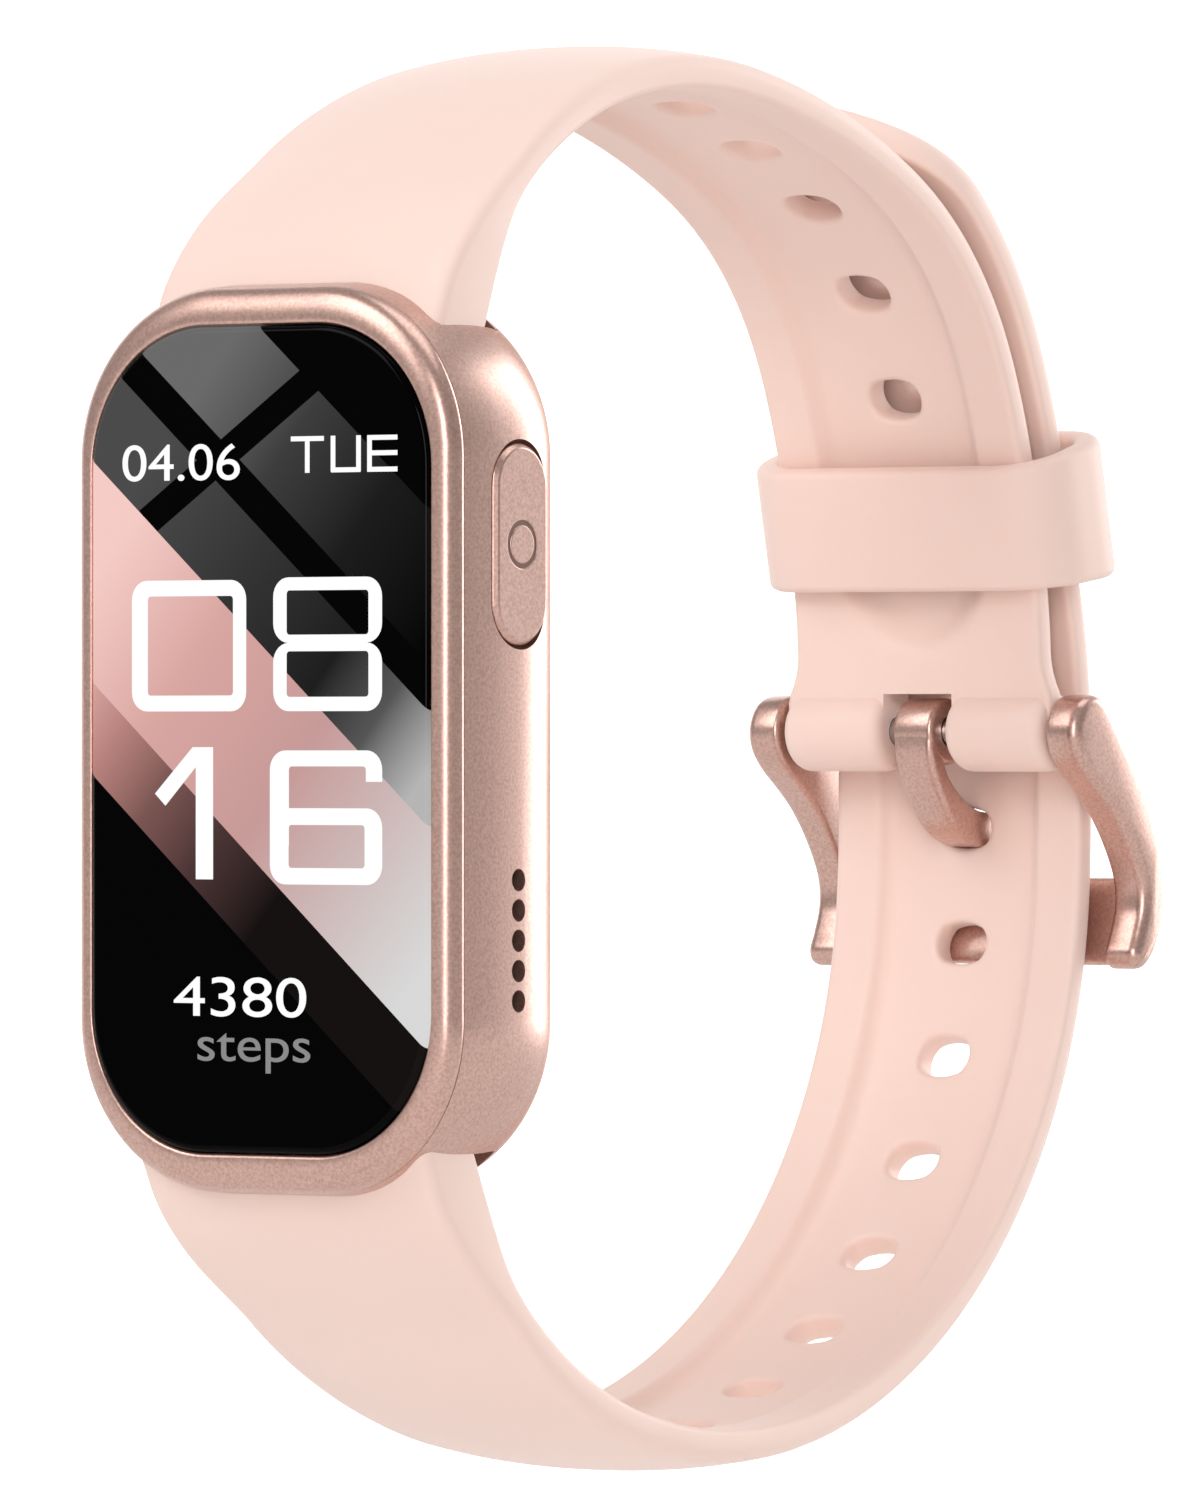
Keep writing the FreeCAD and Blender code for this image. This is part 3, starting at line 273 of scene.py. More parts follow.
def strap_mesh(path, width, middle, edge, holes, channel, kept, tip=None):
    """Points and faces of a strap.

    Its grid runs along the path and across the strap, on an inner and an outer face. The
    inner face dips into the channel, the outer one is a dome, and both round off at the
    edges. Cells outside kept, and a block of cells round each hole, are left out: the
    block is filled by rings that run from its square edge to the hole's oval rim.
    """
    s_all, place, normal = path
    offset = holes[0] % CELL_S if len(holes) else 0.0
    s = np.arange(math.ceil((s_all[0] - offset) / CELL_S) * CELL_S + offset, s_all[-1], CELL_S)
    inner_x = np.concatenate([np.arange(0, HOLE_BLOCK + 1) * CELL_X, WALL_STEPS])
    columns = np.concatenate([inner_x, FROM_EDGE + np.array(EDGE_STEPS)])
    columns = np.concatenate([-columns[:0:-1], columns])
    mid = len(columns) // 2

    def lay(s_at, x_at, face, deep):
        """Places points given by length, place across, face (0 inner, 1 outer) and depth."""
        w = width(s_at) if tip is None else width(s_at) * tip(s_at)
        rest = np.clip(w - np.abs(x_at), 0.0, None)
        y = np.interp(s_at, s_all, place[:, 0])
        z = np.interp(s_at, s_all, place[:, 1])
        ny = np.interp(s_at, s_all, normal[:, 0])
        nz = np.interp(s_at, s_all, normal[:, 1])
        groove = CHANNEL_DEEP * channel(s_at, np.abs(x_at))
        round_in, round_out = rounding(rest, INNER_ROUND), rounding(rest, OUTER_ROUND)
        dome = edge(s_at) + (middle(s_at) - edge(s_at)) * (1 - (np.abs(x_at) / w) ** DOME_POWER)
        low = groove + round_in + deep
        high = dome - round_out * np.minimum(edge(s_at) - EDGE_LEAST, OUTER_ROUND) / OUTER_ROUND - deep
        off = np.where(face > 0, np.maximum(high, low + THINNEST), low)
        return np.stack([x_at, FRONT + y + ny * off, z + nz * off], -1)

    far = np.abs(columns)[None]
    from_edge = np.sign(columns)[None] * (width(s)[:, None] - (far - FROM_EDGE))
    x = np.where(far > FROM_EDGE / 2, from_edge, columns[None])
    if tip is not None:
        x = x * tip(s)[:, None]
    rows, count = x.shape
    s_grid = np.repeat(s[:, None], count, 1)
    faces_of = [lay(s_grid, x, np.full_like(x, face), 0.0).reshape(-1, 3) for face in (0, 1)]
    points = [np.concatenate(faces_of)]
    total = rows * count
    keep = kept((s[:-1] + s[1:])[:, None] / 2, np.abs(x[:-1, :-1] + x[1:, 1:]) / 2)
    solid = keep.copy()
    faces = []
    centres = []
    for hole in holes:
        row = int(round((hole - s[0]) / CELL_S))
        if row - HOLE_BLOCK < 0 or row + HOLE_BLOCK >= rows:
            continue
        keep[row - HOLE_BLOCK : row + HOLE_BLOCK, mid - HOLE_BLOCK : mid + HOLE_BLOCK] = False
        centres.append((row, hole))
    index = np.arange(total).reshape(rows, count)
    quads = np.stack([index[:-1, :-1], index[:-1, 1:], index[1:, 1:], index[1:, :-1]], -1)[keep]
    faces += quads.tolist()
    faces += (quads[:, ::-1] + total).tolist()
    edged = np.pad(solid, 1)
    for axis in (0, 1):
        here = edged[1:, 1:-1] != edged[:-1, 1:-1] if axis == 0 else edged[1:-1, 1:] != edged[1:-1, :-1]
        i, j = np.nonzero(here)
        a = index[i, j]
        b = index[i, j + 1] if axis == 0 else index[i + 1, j]
        faces += np.stack([a, b, b + total, a + total], -1).tolist()
    base = 2 * total
    n = HOLE_BLOCK
    for row, hole in centres:
        rising, falling = np.arange(-n, n), np.arange(n, -n, -1)
        lowest, highest = np.full(2 * n, -n), np.full(2 * n, n)
        rim_i = np.concatenate([lowest, rising, highest, falling])
        rim_j = np.concatenate([rising, highest, falling, lowest])
        around = index[row + rim_i, mid + rim_j]
        angle = np.arctan2(rim_i, rim_j)
        ring_count = len(angle)
        for face in (0, 1):
            previous = around + face * total
            for outset, deep in RIM:
                r = HOLE_R + outset
                ux, us = np.cos(angle), np.sin(angle)
                px = np.sign(ux) * HOLE_HALF * np.minimum(1.0, np.abs(ux) * 1.6) + r * ux
                ring = lay(hole + r * us, px, np.full(ring_count, face), deep)
                points.append(ring)
                current = base + np.arange(ring_count)
                base += ring_count
                faces += band_between(previous, current)
                previous = current
            if face == 0:
                inner_ring = previous
        faces += band_between(inner_ring, previous)
    return np.concatenate(points), faces


STRAP_FAR = 7.85  # half width round the back
STRAP_MORE = 1.15  # and how much more at the case
FAR_ALONG = 45.0  # past this length the width stays the far one, though a path may turn back


def taper(path, flare=lambda s: 0.0):
    """The strap's half width along its path: 9.0 mm at the case, then easing to the far width.

    It opens a little more in the case's mouth, and the flare is added to it.
    """
    s_all, place, _ = path

    def width(s):
        depth = np.interp(s, s_all, place[:, 0])
        depth = np.where(s > FAR_ALONG, 60.0, depth)
        mouth = 0.13 * (1 - smoothstep(s, 0.0, 4.0))
        return STRAP_FAR + STRAP_MORE * (1 - smoothstep(depth, 4.5, 24.0)) ** 1.3 + mouth + flare(s)

    return width


UPPER = ((9.0, 31.0), (25.6, 46.3), (43.9, 18.7), (17.7, 40.1), (45.6, 21.2))
LOWER = ((12.0, 25.0), (29.67, 92.0), (28.0, 32.0), (42.6, 6.0), (400.0, 0.89), (20.0, 10.65), (400.0, 1.0))
STACK = 2.5  # one strap's thickness and the gap to the next layer
TAIL = ((45.6 + STACK, 10.36), (17.7 + STACK, 40.1), (43.9 + STACK, 1.8))

UPPER_START, UPPER_HEADING = (8.0, 23.6), 69.0  # where a path leaves the case: depth, level, degrees
LOWER_START, LOWER_HEADING = (7.4, -23.7), -65.0
ROOT = 7.0  # length of each path inside the case
INTO_TUBE = ((400.0, 0.25),)  # nearly straight, into the tube
upper_path = arc_path(UPPER_START, UPPER_HEADING, UPPER + INTO_TUBE, 1, ROOT)
lower_path = arc_path(LOWER_START, LOWER_HEADING, LOWER + TAIL, -1, ROOT)
upper_length = sum(r * math.radians(t) for r, t in UPPER)
tang_hole = sum(r * math.radians(t) for r, t in LOWER[:4])
lower_length = sum(r * math.radians(t) for r, t in LOWER + TAIL)


def middle_thick(s):
    """The strap's thickness along its middle: thick at the root, 2.3 mm beyond."""
    return 2.3 + 1.9 * (1 - smoothstep(s, -3.5, 6.0))


def edge_thick(s):
    """The strap's thickness beside its edges."""
    return 1.55 + 2.3 * (1 - smoothstep(s, -3.5, 5.5))


NOTCH = 2.1
FLARE, FLARE_LONG = 0.45, 1.9
LAST_HOLE = 15.2  # from the tube to the nearest hole
upper_holes = np.array([upper_length - LAST_HOLE - k * HOLE_PITCH for k in range(6)])
U_START, U_LONG = upper_length - 8.6, 6.4  # the channel's rounded end


def upper_channel(s, x):
    """The channel's depth from 0 to 1; it ends in a round U above the tube."""
    reach = np.hypot(x / CHANNEL, np.clip(s - U_START, 0, None) / U_LONG)
    return (1 - smoothstep(reach, SLOPE_FROM, SLOPE_TO)) * smoothstep(s, *CHANNEL_STARTS)


def upper_kept(s, x):
    """Leaves out the notch that the tang's eye sits in."""
    return ~((s > upper_length + 0.1) & (x < NOTCH + 0.1))


def flare(s):
    """The soft widening where the strap runs into the tube, the square of how near its end is."""
    return FLARE * np.clip((s - upper_length + FLARE_LONG) / FLARE_LONG, 0.0, 1.2) ** 2


points, faces = strap_mesh(
    upper_path, taper(upper_path, flare), middle_thick, edge_thick, upper_holes, upper_channel, upper_kept
)
buckle_strap = surface("buckle_strap_blade", points, faces, silicone, CREASE)
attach(buckle_strap, "root")

lower_holes = np.array([tang_hole - k * HOLE_PITCH for k in range(-6, 8)])
TIP_LONG = 7.0


def lower_channel(s, x):
    """The channel's depth from 0 to 1, along the whole strap up to its tail."""
    walls = 1 - smoothstep(x / CHANNEL, SLOPE_FROM, SLOPE_TO)
    tail = 1 - smoothstep(s, lower_length - 9, lower_length - 6)
    return walls * smoothstep(s, *CHANNEL_STARTS) * tail


def tip(s):
    """The tail's rounded end: the width shrinks as an ellipse does."""
    past = np.clip((s - (lower_length - TIP_LONG)) / TIP_LONG, 0.0, 0.995)
    return np.sqrt(1 - past**2)


def lower_kept(s, x):
    """Keeps the whole blade."""
    return np.ones(np.broadcast(s, x).shape, bool)


points, faces = strap_mesh(
    lower_path, taper(lower_path), middle_thick, edge_thick, lower_holes, lower_channel, lower_kept, tip
)
hole_strap = surface("hole_strap_blade", points, faces, silicone, CREASE)
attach(hole_strap, "root")
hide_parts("hole_strap")


# ---- Buckle tube: the roll moulded at the end of the 12 o'clock strap ----
# Two short lengths of thick-walled tube, one each side of the tang, with softened ends.

AXIS_Y = FRONT + 56.7
AXIS_Z = 0.47
TUBE_R = 2.1
TUBE_END = 8.3
TUBE_BORE = 0.78
TUBE_SOFT = 0.75  # rounding of the tube's outer corners


def lathe(profile, count=64):
    """Points and faces of a profile of (x, radius) turned about the buckle's axis, closed."""
    x, r = np.array(profile).T
    angle = np.linspace(0, 2 * math.pi, count, endpoint=False)
    points = np.stack(
        [
            np.repeat(x[:, None], count, 1),
            AXIS_Y + r[:, None] * np.cos(angle)[None],
            AXIS_Z + r[:, None] * np.sin(angle)[None],
        ],
        -1,
    ).reshape(-1, 3)
    return points, grid_faces(len(x), count, wrap_rows=True, wrap_columns=True)


def softened(start, end, outer, inner, radius, steps=6):
    """A tube's profile with rounded outer corners, from one end to the other and back inside."""
    sweep = np.linspace(0, math.pi / 2, steps)
    first = [(start + radius * (1 - math.sin(a)), outer - radius * (1 - math.cos(a))) for a in sweep[::-1]]
    last = [(end - radius * (1 - math.sin(a)), outer - radius * (1 - math.cos(a))) for a in sweep]
    return [(start, inner)] + first + last + [(end, inner)]


for side in (1, -1):
    start, end = sorted((side * NOTCH, side * TUBE_END))
    points, faces = lathe(softened(start, end, TUBE_R, TUBE_BORE, TUBE_SOFT))
    tube = surface(f"buckle_tube_{'right' if side > 0 else 'left'}", points, faces, silicone, CREASE)
    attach(tube, "root")
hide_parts("buckle_strap")


# ---- Keeper loop: a moulded silicone band that holds the tail down ----
# It slides round the strap's own curve, so its walls are swept about that curve's centre.

KEEP_Y, KEEP_Z = FRONT + 10.17, 1.67
STRAP_RADIUS = 45.6  # the inner face of the strap under the keeper
KEEP_LOW, KEEP_HIGH = STRAP_RADIUS - 0.32, STRAP_RADIUS + 4.4 + 0.3 + 0.32 + 0.25
KEEP_WALL = 1.35
KEEP_HALF = 9.85
KEEP_CORNER = 3.5
KEEP_FROM, KEEP_TO = math.radians(7.9), math.radians(16.3)
KEEP_EDGE = 0.45
KEEP_MIDDLE = 48.0  # radius at which the band's height is measured
KEEP_BULGE = 0.12


def ring_outline(half, low, high, corner, steps=14):
    """A rounded rectangle round the strap's section, as (x, radius from the centre)."""
    turn = np.linspace(0, math.pi / 2, steps)
    out = []
    for k, (cx, cr) in enumerate(((half, high), (-half, high), (-half, low), (half, low))):
        sx, sr = math.copysign(1, cx), 1 if cr == high else -1
        a = turn + k * math.pi / 2
        across, up = cx - sx * corner + corner * np.cos(a), cr - sr * corner + corner * np.sin(a)
        out.append(np.stack([across, up], -1))
    outline = np.concatenate(out)
    closed = np.concatenate([outline, outline[:1]])
    reach = np.concatenate([[0], np.cumsum(np.hypot(*np.diff(closed, axis=0).T))])
    even = np.linspace(0, reach[-1], 160, endpoint=False)
    return np.stack([np.interp(even, reach, closed[:, k]) for k in (0, 1)], -1)


def keeper_points():
    """A rounded wall section carried round the outline: height as an angle, wall as an outset."""
    half = KEEP_WALL / 2
    mid = ring_outline(KEEP_HALF - half, KEEP_LOW - half, KEEP_HIGH + half, KEEP_CORNER - half)
    ahead, behind = np.roll(mid, -1, 0), np.roll(mid, 1, 0)
    run = ahead - behind
    out = np.stack([run[:, 1], -run[:, 0]], -1) / np.hypot(run[:, 0], run[:, 1])[:, None]
    turn = np.linspace(0, math.pi / 2, 6)
    tall = (KEEP_TO - KEEP_FROM) * KEEP_MIDDLE / 2
    corner = np.stack([np.cos(turn), np.sin(turn)], -1) * KEEP_EDGE
    centre = np.array([half - KEEP_EDGE, tall - KEEP_EDGE])
    quarter = centre + corner
    right, left = (quarter * (1, -1))[::-1], (quarter * (-1, 1))[::-1]
    section = np.concatenate([quarter, left, quarter * (-1, -1), right])
    bulge = KEEP_BULGE * (1 - (section[:, 1] / tall) ** 2) * np.sign(section[:, 0]) * (section[:, 0] > 0)
    outset = section[:, 0] + bulge
    x = mid[:, None, 0] + out[:, None, 0] * outset[None]
    r = mid[:, None, 1] + out[:, None, 1] * outset[None]
    angle = (KEEP_FROM + KEEP_TO) / 2 + section[None, :, 1] / KEEP_MIDDLE
    y = KEEP_Y + r * np.cos(angle)
    z = KEEP_Z + r * np.sin(angle)
    return np.stack([x, y, z], -1).reshape(-1, 3), grid_faces(len(mid), len(section), True, True)


points, faces = keeper_points()
keeper = surface("keeper_band", points, faces, silicone, CREASE)
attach(keeper, "keeper")
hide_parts("keeper_loop")


# ---- Case shell: the metal body ----
# Aluminium, machined from the solid, bead-blasted and anodised a pearly rose gold. Its wall is
# softly convex, so the makers' straight wall is drawn in towards the front and the back.

ROSE_LIGHT, ROSE_DARK = "#D5B0A4", "#BD978A"
BEAD = 0.16  # mm, the dimples of the blasting; real ones are finer, this is as coarse as shows

rose_metal, tree, shader = finish_of(
    "bead_blasted_anodised_aluminium",
    ROSE_LIGHT,
    Metallic=0.86,
    Roughness=0.32,
    Coat_Weight=0.45,
    Coat_Roughness=0.28,
)
place = add(tree, "ShaderNodeTexCoord")
dimples = add(
    tree,
    "ShaderNodeTexNoise",
    [("Vector", place.outputs["Object"])],
    Scale=1 / (BEAD * MM),
    Detail=1.5,
    Roughness=0.6,
)
level = add(tree, "ShaderNodeMapRange", [("Value", dimples.outputs["Fac"])], From_Min=0.3, From_Max=0.7)
tint = add(tree, "ShaderNodeMix", [("Factor", level.outputs["Result"])], data_type="RGBA")
tint.inputs["A"].default_value = linear(ROSE_DARK)
tint.inputs["B"].default_value = linear(ROSE_LIGHT)
tree.links.new(tint.outputs["Result"], shader.inputs["Base Color"])
bump = add(tree, "ShaderNodeBump", [("Height", dimples.outputs["Fac"])], Strength=0.25, Distance=0.02 * MM)
tree.links.new(bump.outputs["Normal"], shader.inputs["Normal"])

CASE_X, CASE_Z, CASE_CORNER = 12.0, 22.5, 8.7
PARTING = 1.35  # depth of the joint with the bezel
WIDEST = 4.6  # depth at which the wall is widest
FRONT_IN, BACK_IN = 0.22, 2.35  # how far it is drawn in at its front and at its back
CAST_ROUND = 2.0  # rounding of the makers' shell at its back edge
WALL_BACK = 10.0
WALL_CUTS = (  # depths of the loops, closer where the wall curves more
    (1.6, 1.9, 2.3, 2.8, 3.4, 4.0, 4.6, 5.2, 5.8, 6.4, 7.0)
    + (7.5, 8.0, 8.4, 8.7, 9.0, 9.25, 9.45, 9.62, 9.76, 9.87)
)


def drawn_in(depth):
    """A square curve to the front of the widest place and a flattened ellipse to the back of it."""
    ahead = np.clip((WIDEST - depth) / (WIDEST - PARTING), 0, 1)
    past = np.clip((depth - WIDEST) / (WALL_BACK - WIDEST), 0, 1)
    return FRONT_IN * ahead**2 + BACK_IN * (1 - np.sqrt(1 - past**2.8))


def shaped_shell(node):
    """The shell with loops cut round it, its outer wall moved to the drawn-in outline.

    A point is on the wall when its distance inside the rounded rectangle is the one the
    makers' straight wall and round back edge give; it moves along the outline's normal.
    """
    work = bmesh.new()
    work.from_mesh(node.data)
    bmesh.ops.remove_doubles(work, verts=work.verts, dist=1e-6)
    for depth in WALL_CUTS:
        everything = work.verts[:] + work.edges[:] + work.faces[:]
        level = ((FRONT + depth) * MM) * Vector((0, 1, 0))
        bmesh.ops.bisect_plane(work, geom=everything, plane_co=level, plane_no=(0, 1, 0), dist=1e-7)
    mesh = bpy.data.meshes.new("case_shell")
    work.to_mesh(mesh)
    work.free()
    mesh.attributes.remove(mesh.attributes["custom_normal"])
    flat = np.empty(3 * len(mesh.vertices))
    mesh.vertices.foreach_get("co", flat)
    at = flat.reshape(-1, 3) / MM
    depth = at[:, 1] - FRONT
    beyond = np.abs(at[:, [0, 2]]) - (CASE_X - CASE_CORNER, CASE_Z - CASE_CORNER)
    corner = np.clip(beyond, 0, None)
    reach = np.hypot(*corner.T)
    inside = CASE_CORNER - reach - np.minimum(beyond.max(1), 0)
    normal = np.sign(at[:, [0, 2]]) * corner / np.maximum(reach, 1e-9)[:, None]
    past = np.clip(depth - (WALL_BACK - CAST_ROUND), 0, CAST_ROUND)
    rounded = CAST_ROUND - np.sqrt(CAST_ROUND**2 - past**2)
    wall = np.abs(inside - rounded) < 0.07
    at[:, [0, 2]] -= normal * np.where(wall, drawn_in(depth) - inside, 0.0)[:, None]
    mesh.vertices.foreach_set("co", (at * MM).ravel())
    mesh.polygons.foreach_set("use_smooth", np.ones(len(mesh.polygons), bool))
    mesh.set_sharp_from_angle(angle=math.radians(35))
    mesh.materials.append(rose_metal)
    piece = bpy.data.objects.new("case_shell", mesh)
    bpy.context.scene.collection.objects.link(piece)
    return piece


shell = shaped_shell(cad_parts["case_housing"])
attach(shell, "root")
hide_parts("case_housing")


# ---- Bezel ring: frames the glass ----
# A ring of the same aluminium, turned over in one soft shoulder that ends in a bright lip at
# the glass. It is pressed on the shell, and a fine bevel each side of the joint catches light.


def rounded_outline(half_x, half_z, corner, steps=40):
    """Points round a rounded rectangle: four quarter circles, the same count for any size."""
    turn = np.linspace(0, math.pi / 2, steps)
    arcs = []
    for k, (sx, sz) in enumerate(((1, 1), (-1, 1), (-1, -1), (1, -1))):
        a = turn + k * math.pi / 2
        x, z = sx * (half_x - corner) + corner * np.cos(a), sz * (half_z - corner) + corner * np.sin(a)
        arcs.append(np.stack([x, z], -1))
    return np.concatenate(arcs)


GLASS_X, GLASS_Z, GLASS_CORNER = 10.55, 20.3, 7.0
BEZEL_PROFILE = np.array(  # part of the way from the outer wall to the glass, and depth
    [(0.045, 1.34), (0.0, 1.27), (0.008, 1.12), (0.035, 0.92), (0.085, 0.72), (0.16, 0.54), (0.26, 0.4)]
    + [(0.38, 0.29), (0.51, 0.215), (0.64, 0.165), (0.76, 0.14), (0.86, 0.135), (0.915, 0.15), (0.95, 0.2)]
    + [(0.972, 0.29), (0.982, 0.45), (0.985, 1.34)]
)


def bezel_points():
    """The profile carried round, between the outer outline and the glass's."""
    outer = rounded_outline(CASE_X - FRONT_IN, CASE_Z - FRONT_IN, CASE_CORNER - FRONT_IN)
    inner = rounded_outline(GLASS_X, GLASS_Z, GLASS_CORNER)
    part, depth = BEZEL_PROFILE.T
    place = outer[:, None] * (1 - part)[None, :, None] + inner[:, None] * part[None, :, None]
    level = np.broadcast_to(FRONT + depth, place.shape[:2])
    return np.stack([place[..., 0], level, place[..., 1]], -1).reshape(-1, 3)


rounds = bezel_points()
quads = grid_faces(len(rounds) // len(BEZEL_PROFILE), len(BEZEL_PROFILE), True, True)
bezel = surface("bezel_ring", rounds, quads, rose_metal, 50.0)
bevel_metal, _, _ = finish_of("diamond_cut_aluminium_bevel", "#FBE9E1", Metallic=0.4, Roughness=0.4)
bezel.data.materials.append(bevel_metal)
middles = np.empty(3 * len(bezel.data.polygons))
bezel.data.polygons.foreach_get("center", middles)
behind = middles.reshape(-1, 3)[:, 1] / MM - FRONT
outermost = np.abs(behind - 1.3) < 0.03
bezel.data.polygons.foreach_set("material_index", outermost.astype(np.int32))
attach(bezel, "root")
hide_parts("front_bezel")


# ---- Cover glass and its lit face ----
# Toughened glass bonded over the panel, so that the picture seems to lie on its front. The
# watch face has slanting bands: pink light fading to grey, dark tiles above and black below.

V_SLOPE = (0.652, 0.758)  # across the bands, from X and Z
U_SLOPE = (0.758, -0.652)  # along the bands
W_SLOPE = (-0.67, 1.0)  # across the dark bar

lit_glass, tree, shader = finish_of(
    "toughened_cover_glass", "#000000", Roughness=0.07, Specular_IOR_Level=0.05
)
place = add(tree, "ShaderNodeTexCoord")
along = add(tree, "ShaderNodeSeparateXYZ", [("Vector", place.outputs["Object"])])


def slope(pair):
    """A number that rises across the face, in millimetres, from X and Z."""
    run = add(tree, "ShaderNodeMath", [(0, along.outputs["X"])], operation="MULTIPLY")
    run.inputs[1].default_value = pair[0] / MM
    sources = [(0, along.outputs["Z"]), (2, run.outputs[0])]
    rise = add(tree, "ShaderNodeMath", sources, operation="MULTIPLY_ADD")
    rise.inputs[1].default_value = pair[1] / MM
    return rise.outputs[0]


def band_of(source, low, high):
    """1 between two places along a slope and 0 outside them."""
    mask = add(tree, "ShaderNodeMath", [(0, source)], operation="COMPARE")
    mask.inputs[1].default_value = (low + high) / 2
    mask.inputs[2].default_value = (high - low) / 2
    return mask.outputs[0]


def fade(source, stops):
    """Colours at places along a slope, blended between them."""
    low, high = stops[0][0], stops[-1][0]
    part = add(tree, "ShaderNodeMapRange", [("Value", source)], From_Min=low, From_Max=high)
    ramp = add(tree, "ShaderNodeValToRGB", [("Fac", part.outputs["Result"])])
    points = ramp.color_ramp.elements
    for spot, _ in stops[1:-1]:
        points.new((spot - low) / (high - low))
    for point, (spot, code) in zip(points, stops):
        point.position = (spot - low) / (high - low)
        point.color = linear(code)
    return ramp.outputs["Color"]


def over(base, layer, mask):
    """A layer laid over a base where its mask is 1."""
    mix = add(tree, "ShaderNodeMix", [("Factor", mask)], data_type="RGBA")
    for socket, source in (("A", base), ("B", layer)):
        if isinstance(source, str):
            mix.inputs[socket].default_value = linear(source)
        else:
            tree.links.new(source, mix.inputs[socket])
    return mix.outputs["Result"]


v, u, w = slope(V_SLOPE), slope(U_SLOPE), slope(W_SLOPE)
DUSK_LOW, PINK_LOW, PINK_HIGH, GREY_HIGH = -8.1, -4.63, 3.68, 7.95  # the bands' borders along v
TILES = (9.7, 15.4)
DARK_BAR = (14.5, 16.3)  # along w
FACE_TOP = 60.0  # past the glass's corner
DUSK = [(-11.0, "#E3AFA9"), (-7.0, "#B9837E"), (-3.0, "#7A5552"), (1.0, "#4A3434"), (6.0, "#120D0D")]
PINK = [(-13.0, "#F5CBC6"), (-5.6, "#D9A6A1"), (2.6, "#C69A98"), (8.5, "#CDB9B8"), (15.0, "#D8D8D8")]
GREY = [(-14.0, "#4A4A4A"), (-6.0, "#333333"), (1.0, "#1C1C1C"), (5.0, "#555555"), (9.0, "#B5B5B5")]
TILE = [(-14.0, "#6A6A6A"), (-8.0, "#3C3C3C"), (-2.0, "#1A1A1A"), (5.0, "#000000")]

face = over("#000000", fade(u, DUSK), band_of(v, DUSK_LOW, PINK_LOW))
face = over(face, fade(u, PINK), band_of(v, PINK_LOW, PINK_HIGH))
upper_face = over("#000000", fade(u, GREY), band_of(v, PINK_HIGH, GREY_HIGH))
upper_face = over(upper_face, fade(u, TILE), band_of(v, *TILES))
upper_face = over(upper_face, "#000000", band_of(w, *DARK_BAR))
face = over(face, upper_face, band_of(v, PINK_HIGH, FACE_TOP))
tree.links.new(face, shader.inputs["Emission Color"])
shader.inputs["Emission Strength"].default_value = 1.0
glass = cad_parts["cover_glass"]
glass.data.materials.clear()
glass.data.materials.append(lit_glass)


# ---- Lit figures: the time, the date and the step count ----
# Shown by the panel, so each is a hair-thin glowing film on the glass: square figures drawn
# with strokes of an even width, and small plain lettering.

FILM_FRONT, FILM_BACK = -0.014, 0.02  # depths of the film's two faces


def lit_film(name, code):
    """The finish of a glowing part of the panel: a dull black that shines in one colour."""
    material, _, shader = finish_of(name, "#000000", Roughness=0.6, Specular_IOR_Level=0.1)
    shader.inputs["Emission Color"].default_value = linear(code)
    shader.inputs["Emission Strength"].default_value = 1.0
    return material


white_light = lit_film("lit_pixels_white", "#FFFFFF")
grey_light = lit_film("lit_pixels_grey", "#8A8A8A")


def film(loop):
    """A thin plate with the given closed outline of X and Z: its front, its back and its rim."""
    loop = np.array(loop, float)
    count = len(loop)
    points = np.concatenate([np.insert(loop, 1, FRONT + depth, 1) for depth in (FILM_FRONT, FILM_BACK)])
    ahead = (np.arange(count) + 1) % count
    rim = np.stack([np.arange(count), ahead, ahead + count, np.arange(count) + count], -1).tolist()
    return points, [list(range(count)), list(range(2 * count - 1, count - 1, -1))] + rim


def box_stroke(outer, inner, corner=0.95):
    """A figure's closed box: the strip between two rounded rectangles (left, right, low, high)."""
    rings = []
    for (left, right, low, high), radius in ((outer, corner), (inner, 0.18)):
        ring = rounded_outline((right - left) / 2, (high - low) / 2, radius, 8)
        rings.append(ring + ((left + right) / 2, (low + high) / 2))
    rows = [(rings[0], FILM_FRONT), (rings[1], FILM_FRONT), (rings[1], FILM_BACK), (rings[0], FILM_BACK)]
    points = [np.insert(ring, 1, FRONT + depth, 1) for ring, depth in rows]
    return np.stack(points, 1).reshape(-1, 3), grid_faces(len(rings[0]), 4, True, True)


def bar_stroke(start, end, width):
    """A straight stroke along a line that is given by its two ends."""
    start, end = np.array(start, float), np.array(end, float)
    across = np.array([-(end - start)[1], (end - start)[0]]) / np.hypot(*(end - start)) * width / 2
    return film([start + across, start - across, end - across, end + across])


def bend_of(x, z, radius, first, last):
    """Points of an arc about a centre, between two angles in degrees."""
    a = np.radians(np.linspace(first, last, 8))
    return np.stack([x + radius * np.cos(a), z + radius * np.sin(a)], -1).tolist()


